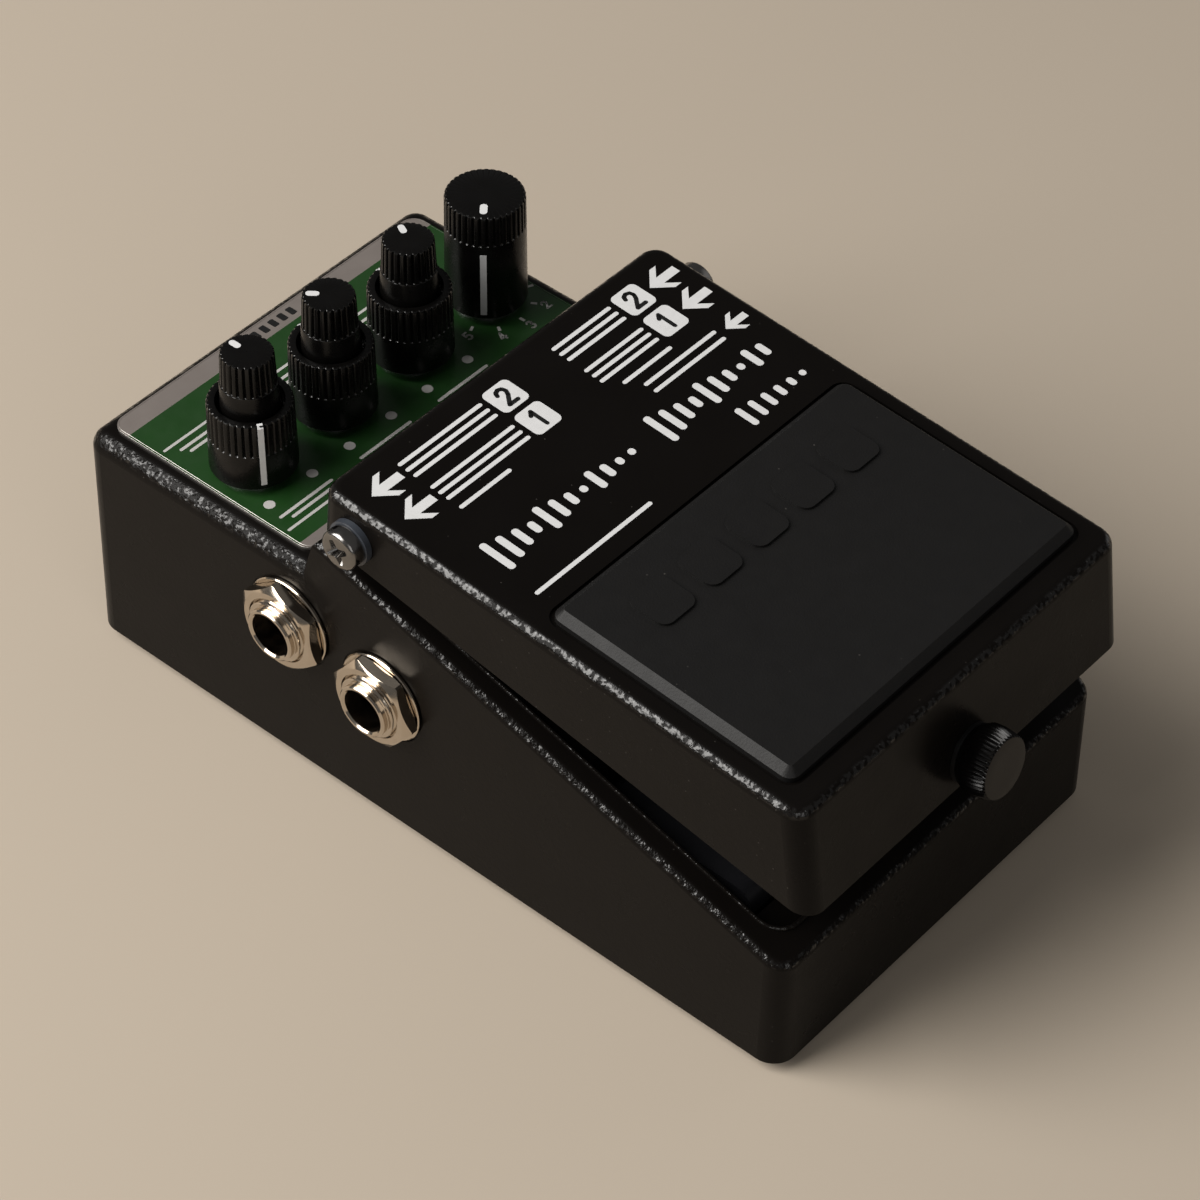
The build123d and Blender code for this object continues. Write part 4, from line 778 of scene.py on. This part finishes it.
stripDims = dict(count=5, x=-4.4, step=1.75, width=1.0, front=55.75, rear=57.35, corner=0.2)
d = stripDims
stripMarks = []
for k in range(d["count"]):
    x = d["x"] + d["step"] * k
    stripMarks.append(roundedRect(x, d["front"], x + d["width"], d["rear"], d["corner"], 3))
addPrint("panel_strip_marks", stripMarks, onPanel, "blackPrint", "case")

# bright edge of the plate
plateDims = dict(grow=0.02, corner=2.2, inset=0.2, innerCorner=2.0, chamfer=0.14, proud=0.03, sunk=0.2,
                 cornerSteps=8)


def addPlateEdge(d):
    low, high = (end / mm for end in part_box("control_panel"))
    outlines = []
    for grow, corner in ((d["grow"], d["corner"]), (-d["inset"], d["innerCorner"])):
        x0, y0, x1, y1 = low.x - grow, low.y - grow, high.x + grow, high.y + grow
        outlines.append(roundedRect(x0, y0, x1, y1, corner, d["cornerSteps"]))
    outer, inner = outlines
    points = []
    for outline, lift in ((outer, low.z - high.z), (outer, -d["chamfer"]),
                          (inner, d["proud"]), (inner, -d["sunk"])):
        points += [onPanel(x, y, lift) for x, y in outline]
    addPiece("panel_edge", points, ringFaces(4, len(outer)), "plateEdge", "case", smooth=40)


addPlateEdge(plateDims)
print("panel print placed")

# low bead on the rim, round the tub's mouth
beadDims = dict(mouth=28.93, front=-56.93, rear=3.9, corner=3.0, cornerSteps=10, out=0.55, half=0.26,
                height=0.42, shoulder=0.6, crown=0.5, sunk=0.1, rimFront=19.9, rimRear=44.046,
                wallFront=-61.25, step=19.7)


def addBead(d):
    rise = (d["rimRear"] - d["rimFront"]) / (d["step"] - d["wallFront"])
    half, height, corner = d["half"], d["height"], d["corner"]
    shoulder, crown = height * d["shoulder"], half * d["crown"]
    rows = [(-half, -d["sunk"]), (-half, shoulder), (-crown, height), (crown, height), (half, shoulder),
            (half, -d["sunk"])]
    path = []
    for side in (-1, 1):
        run = [(side, d["mouth"], d["rear"], 0, 0)]
        for k in range(d["cornerSteps"] + 1):
            turn = radians(90 * k / d["cornerSteps"])
            run.append((side, d["mouth"] - corner, d["front"] + corner, turn, corner))
        path += run if side < 0 else run[::-1]
    points = []
    for side, x, y, turn, radius in path:
        for offset, lift in rows:
            reach = d["out"] + offset + radius
            px, py = side * (x + reach * cos(turn)), y - reach * sin(turn)
            points.append(Vector((px, py, d["rimFront"] + (py - d["wallFront"]) * rise + lift)) * mm)
    faces = ringFaces(len(path), len(rows), False)
    addPiece("rim_bead", points, faces, "casePaint", "case", smooth=50)


addBead(beadDims)
print("rim bead placed")

# jacks: threaded barrel, hex nut with rounded corners, washer
# thread rows: one turn, by share of its depth and share of its pitch
jackDims = dict(firstY=22.67, stepY=16.48, firstZ=26.5, stepZ=3.02, segments=72,
                bore=3.2, inner=3.2, proud=4.25, lip=3.95, lipLength=0.9, lipEdge=0.2, lipFillet=0.08,
                mouth=0.25, thread=4.62, threadDepth=0.34, threadStart=1.2, threadEdge=0.2, pitch=0.75,
                threadBend=0.05, threadBendDrop=0.12, lipRise=0.06, nutLowEdge=0.03,
                nutFlats=12.2, nutHeight=2.1, nutFace=0.25, nutCone=32, nutCorner=0.1, nutEdge=0.04,
                nutLeastDrop=0.02, nutFit=0.05, nutMouth=0.3, nutSegments=240,
                washer=6.8, washerHeight=0.7, washerFit=0.06, washerLift=0.02, washerEdge=0.12,
                washerRound=0.15, threadRows=((0, 0.0), (1, 0.42), (1, 0.55), (0, 0.97)),
                nutTurns=dict(left1=8, left2=22, right1=15, right2=3, right3=25))


# one frame for each jack: Z runs out of the wall, zero at the washer's seat
def jackFrames(d):
    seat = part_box("jack_bushings")[1].x / mm - d["proud"]
    frames = {}
    for name, side, count in (("left", -1, 2), ("right", 1, 3)):
        for i in range(count):
            spot = Vector((side * seat, d["firstY"] - d["stepY"] * i, d["firstZ"] - d["stepZ"] * i)) * mm
            frames[name + str(i + 1)] = frameOf((0, side, 0), (side, 0, 0), spot)
    return frames


def barrelProfile(d):
    bore, thread, pitch, lip, tip = d["bore"], d["thread"], d["pitch"], d["lip"], d["proud"]
    profile = [(bore, -d["inner"]), (thread, -d["inner"])]
    z = d["nutHeight"] + d["washerHeight"] - d["threadStart"]
    end = tip - d["lipLength"]
    while z < end - pitch:
        profile += [(thread - d["threadDepth"] * deep, z + pitch * along) for deep, along in d["threadRows"]]
        z += pitch
    return profile + [
        (thread - d["threadBend"], end - d["threadBendDrop"]), (thread - d["threadEdge"], end),
        (lip + d["lipFillet"], end), (lip, end + d["lipRise"]), (lip, tip - d["lipEdge"]),
        (lip - d["lipEdge"], tip), (bore + d["mouth"], tip), (bore, tip - d["mouth"]),
    ]


def washerProfile(d):
    hole, rim, height = d["thread"] + d["washerFit"], d["washer"], d["washerHeight"]
    foot, edge, bend = d["washerLift"], d["washerEdge"], d["washerRound"]
    return [(hole, foot), (rim - edge, foot), (rim, foot + edge), (rim, height - bend), (rim - bend, height),
            (hole, height)]


# hex prism with a cone turned on each end, so every flat ends in a curve
def nutMesh(d, place):
    apothem = d["nutFlats"] / 2
    low, high = d["washerHeight"], d["washerHeight"] + d["nutHeight"]
    face = apothem - d["nutFace"]
    hole, mouth, edge = d["thread"] + d["nutFit"], d["nutMouth"], d["nutEdge"]
    points = []
    for i in range(d["nutSegments"]):
        a = 2 * pi * i / d["nutSegments"]
        local = (a + pi / 6) % (pi / 3) - pi / 6
        flat = min(apothem / cos(local), apothem / cos(pi / 6) - d["nutCorner"])
        drop = max(d["nutLeastDrop"], (flat - face) * tan(radians(d["nutCone"])))
        rise, lowEdge = drop / 2, d["nutLowEdge"]
        rows = [(face, low), (flat - lowEdge, low + rise), (flat, low + rise + lowEdge),
                (flat, high - drop - edge), (flat - edge, high - drop), (face, high),
                (hole + mouth, high), (hole, high - mouth), (hole, low)]
        points += [place @ polar(r, a, z) for r, z in rows]
    return points, ringFaces(d["nutSegments"], len(rows))


def addJacks(d):
    frames = jackFrames(d)
    barrels = [turnedMesh(barrelProfile(d), d["segments"], place) for place in frames.values()]
    washers = [turnedMesh(washerProfile(d), d["segments"], place) for place in frames.values()]
    nuts = []
    for name, place in frames.items():
        nuts.append(nutMesh(d, place @ Matrix.Rotation(radians(d["nutTurns"][name]), 4, "Z")))
    for node, parts, angle in (("jack_bushings", barrels, 30), ("jack_nuts", nuts, 25),
                               ("jack_washers", washers, 30)):
        points, faces = joinMeshes(parts)
        piece = addPiece(node + "_turned", points, faces, "nickelAndPaintedReflection", "case", smooth=angle)
        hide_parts(node)


addJacks(jackDims)
print("jacks turned: 5")

# thumb screw with straight knurling
# rows: inset from the head's radius, rise from its foot or drop from its end, share of the groove's depth
thumbDims = dict(radius=4.75, length=5.4, foot=0.7, shaft=2.0, reach=13.5, tip=1.0, axis=0.05, flutes=44,
                 fluteDepth=0.42, sharp=0.75, segments=8,
                 footRows=((0.75, 0.0, 0), (0.5, 0.15, 0), (0.45, 0.55, 0), (0.05, 0.9, 1)),
                 headRows=((0.0, 2.5, 1), (0.1, 1.5, 1), (0.27, 0.6, 0.9), (0.4, 0.2, 0.5), (0.55, 0.04, 0),
                           (0.8, 0.0, 0)))


def thumbFrame():
    joint = [j for j in frame["joints"] if j["name"] == "thumb_turn"][0]
    return frameOf((1, 0, 0), Vector(joint["axis"]).normalized(), Vector(joint["pos_m"]))


def addThumbScrew(d):
    radius, foot, length, groove = d["radius"], d["foot"], d["length"], d["fluteDepth"]
    profile = [(d["shaft"], foot)]
    profile += [(radius - inset, foot + rise, groove * share) for inset, rise, share in d["footRows"]]
    profile += [(radius - inset, length - drop, groove * share) for inset, drop, share in d["headRows"]]
    profile += [(radius / 2, length), (d["axis"], length), (d["axis"], -d["reach"]),
                (d["shaft"] - d["tip"], -d["reach"]), (d["shaft"], d["tip"] - d["reach"])]
    wave = grooveWave(d["flutes"], d["sharp"])
    points, faces = turnedMesh(profile, d["flutes"] * d["segments"], thumbFrame(), wave)
    piece = addPiece("thumb_screw_knurled", points, faces, "thumbPlastic", "thumb", smooth=32)
    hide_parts("thumb_screw")


addThumbScrew(thumbDims)
print("thumb screw knurled")

# return spring: its foot leaves room for the treadle's press
springDims = dict(wire=0.55, turns=6, room=1.5, startTurn=0.25, steps=28, ring=10)


def addSpring(d):
    low, high = (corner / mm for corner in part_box("return_spring"))
    middle = (low + high) / 2
    radius = (high.x - low.x) / 2 - d["wire"]
    bottom, top = low.z + d["wire"] + d["room"], high.z - d["wire"]
    rings = d["turns"] * d["steps"] + 1
    rise = (top - bottom) / d["turns"]
    points = []
    for i in range(rings):
        turn = i / d["steps"]
        a = 2 * pi * (turn + d["startTurn"])
        out = Vector((cos(a), sin(a), 0))
        along = Vector((-sin(a) * 2 * pi * radius, cos(a) * 2 * pi * radius, rise)).normalized()
        up = along.cross(out)
        centre = Vector((middle.x, middle.y, bottom + rise * turn)) + out * radius
        for k in range(d["ring"]):
            b = 2 * pi * k / d["ring"]
            points.append((centre + (out * cos(b) + up * sin(b)) * d["wire"]) * mm)
    faces = ringFaces(rings, d["ring"], False)
    piece = addPiece("return_spring_wound", points, faces, "springWire", "treadle", smooth=50)
    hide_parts("return_spring")


addSpring(springDims)
print("return spring wound")

# hinge screws and base screws: domed heads with a cross recess
hingeDims = dict(radius=2.9, height=2.2, seat=33.55, y=10.48, z=48.55, edge=0.45, cross=1.85, lobe=1.05,
                 inner=0.42, crossDeep=1.25, crossTaper=0.5, shank=1.4, shankLength=6.5, turns=(28, 61))
baseDims = dict(radius=2.7, height=1.3, edge=0.35, cross=1.5, lobe=0.8, inner=0.34, crossDeep=0.85,
                crossTaper=0.5, shank=1.45, shankLength=9.0, turns=(12, 47, 70, 31))
# shared by all heads: rounding has insets and drops as shares of the edge
headDims = dict(axis=0.06, segments=64, flat=0.4, foot=0.1, smooth=34, tipHalf=0.7, tipReach=0.25, steps=4,
                rounding=((1.7, 0.08), (1.0, 0.25), (0.3, 0.7), (0.0, 1.3)))


# four lobes with hollow rounds between them
def crossOutline(d):
    outline = []
    half, hollow, tip = d["lobe"] / 2, d["inner"], d["cross"]
    end, reach = half * headDims["tipHalf"], half * headDims["tipReach"]
    for k in range(4):
        turn = Matrix.Rotation(k * pi / 2, 2)
        lobe = [(tip, -end), (tip + reach, 0), (tip, end)]
        for step in range(headDims["steps"] + 1):
            a = step * pi / 2 / headDims["steps"]
            lobe.append((half + hollow - hollow * sin(a), half + hollow - hollow * cos(a)))
        outline += [turn @ Vector(p) for p in lobe]
    return outline


def headMesh(d, place):
    r, h, e, end = d["radius"], d["height"], d["edge"], -d["shankLength"]
    axis, foot = headDims["axis"], headDims["foot"]
    profile = [(axis, h), (r * headDims["flat"], h)]
    profile += [(r - e * inset, h - e * drop) for inset, drop in headDims["rounding"]]
    profile += [(r, foot), (r - foot, 0.0), (d["shank"], 0.0), (d["shank"], end), (axis, end)]
    return turnedMesh(profile, headDims["segments"], place)


def crossMesh(d, place):
    outline = crossOutline(d)
    points = []
    for end, size in ((-1, d["crossTaper"]), (1, 2 - d["crossTaper"])):
        z = d["height"] + end * d["crossDeep"]
        points += [place @ (Vector((p.x * size, p.y * size, z)) * mm) for p in outline]
    return points, ringFaces(2, len(outline), False)


def addHeads(node, d, places, finish):
    turned = [place @ Matrix.Rotation(radians(turn), 4, "Z") for place, turn in zip(places, d["turns"])]
    obj = meshObject(node + "_domed", *joinMeshes([headMesh(d, place) for place in turned]))
    cutter = meshObject("crossCutter", *joinMeshes([crossMesh(d, place) for place in turned]))
    # the crosses are cut by a boolean that is applied at once
    cut = obj.modifiers.new("cross", "BOOLEAN")
    cut.operation = "DIFFERENCE"
    cut.solver = "EXACT"
    cut.object = cutter
    bpy.context.view_layer.update()
    result = bpy.data.meshes.new_from_object(obj.evaluated_get(bpy.context.evaluated_depsgraph_get()))
    obj.modifiers.clear()
    obj.data = result
    result.materials.clear()
    result.materials.append(finishes[finish])
    cutMesh = cutter.data
    bpy.data.objects.remove(cutter)
    bpy.data.meshes.remove(cutMesh)
    shadeSmooth(result, headDims["smooth"])
    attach(obj, "case")
    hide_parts(node)


d = hingeDims
places = []
for side in (-1, 1):
    seat = Vector((side * d["seat"], d["y"], d["z"])) * mm
    places.append(frameOf((0, side, 0), (side, 0, 0), seat))
addHeads("hinge_screws", d, places, "screwNickel")
d = baseDims
low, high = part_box("base_screws")
inset = d["radius"] * mm
places = []
for x in (low.x + inset, high.x - inset):
    for y in (low.y + inset, high.y - inset):
        seat = Vector((x, y, low.z + d["height"] * mm))
        places.append(frameOf((1, 0, 0), (0, 0, -1), seat))
addHeads("base_screws", d, places, "blackSteel")
print("screw heads cut: 6")

# floor, light, camera
softWhite = (1.0, 0.985, 0.965)
windowWhite = (1.0, 0.975, 0.94)
stageDims = dict(floorSize=5.0, floorColour=(0.45, 0.385, 0.31), floorVary=0.02, floorPatch=6, floorRough=0.8,
                 floorShine=0.25, worldLevel=0.13, worldColour=softWhite)


def addStage(d):
    mesh = bpy.data.meshes.new("floor")
    half = d["floorSize"] / 2
    corners = [(-half, -half, 0), (half, -half, 0), (half, half, 0), (-half, half, 0)]
    mesh.from_pydata(corners, [], [(0, 1, 2, 3)])
    floor = bpy.data.objects.new("floor", mesh)
    bpy.context.scene.collection.objects.link(floor)
    finish, tree, shader = startFinish("paleFloor")
    darker = tuple(c * (1 - d["floorVary"]) for c in d["floorColour"])
    paler = tuple(c * (1 + d["floorVary"]) for c in d["floorColour"])
    colour = mixColour(tree, noiseOf(tree, d["floorPatch"], patchDetail), darker, paler)
    tree.links.new(colour, shader.inputs["Base Color"])
    setInputs(shader, Roughness=d["floorRough"], Specular_IOR_Level=d["floorShine"])
    mesh.materials.append(finish)
    world = bpy.data.worlds.new("room")
    bpy.context.scene.world = world
    world.use_nodes = True
    ground = world.node_tree.nodes["Background"]
    setInputs(ground, Color=(*d["worldColour"], 1), Strength=d["worldLevel"])


# lamps: direction, distance, size, power and colour
lampDims = dict(
    windowKey=((-0.66, 0.46, 0.64), 1.1, 0.85, 17.8, windowWhite),
    ceilingSoft=((-0.32, 0.40, 0.86), 1.3, 0.5, 3.0, softWhite),
    frontFill=((-0.55, -0.95, 0.55), 1.5, 0.9, 3.0, softWhite),
    rightFill=((0.95, -0.25, 0.35), 1.5, 0.9, 0.9, softWhite),
)


def addLamps():
    for name, (direction, distance, size, power, colour) in lampDims.items():
        data = bpy.data.lights.new(name, "AREA")
        data.shape = "SQUARE"
        data.size = size
        data.energy = power
        data.color = colour
        obj = bpy.data.objects.new(name, data)
        way = Vector(direction).normalized()
        obj.location = way * distance
        obj.rotation_euler = way.to_track_quat("Z", "Y").to_euler()
        bpy.context.scene.collection.objects.link(obj)


# the camera's place was solved from the photo's edges
cameraDims = dict(azimuth=-49.846, elevation=44.558, roll=0.902, lens=117.16, sensor=36.0, distance=526.88,
                  target=(2.74, -0.49, 19.0), clip=(0.01, 20.0))


def addCamera(d):
    az, el, roll = radians(d["azimuth"]), radians(d["elevation"]), radians(d["roll"])
    back = Vector((sin(az) * cos(el), -cos(az) * cos(el), sin(el)))
    right = Vector((cos(az), sin(az), 0))
    up = back.cross(right)
    data = bpy.data.cameras.new("photoView")
    data.sensor_width = d["sensor"]
    data.lens = d["lens"]
    data.clip_start, data.clip_end = d["clip"]
    obj = bpy.data.objects.new("photoView", data)
    spot = (Vector(d["target"]) + back * d["distance"]) * mm
    obj.matrix_world = frameOf(right * cos(roll) + up * sin(roll), back, spot)
    bpy.context.scene.collection.objects.link(obj)
    bpy.context.scene.camera = obj


addStage(stageDims)
addLamps()
addCamera(cameraDims)
bpy.context.scene.view_settings.view_transform = "Standard"
print("stage set")
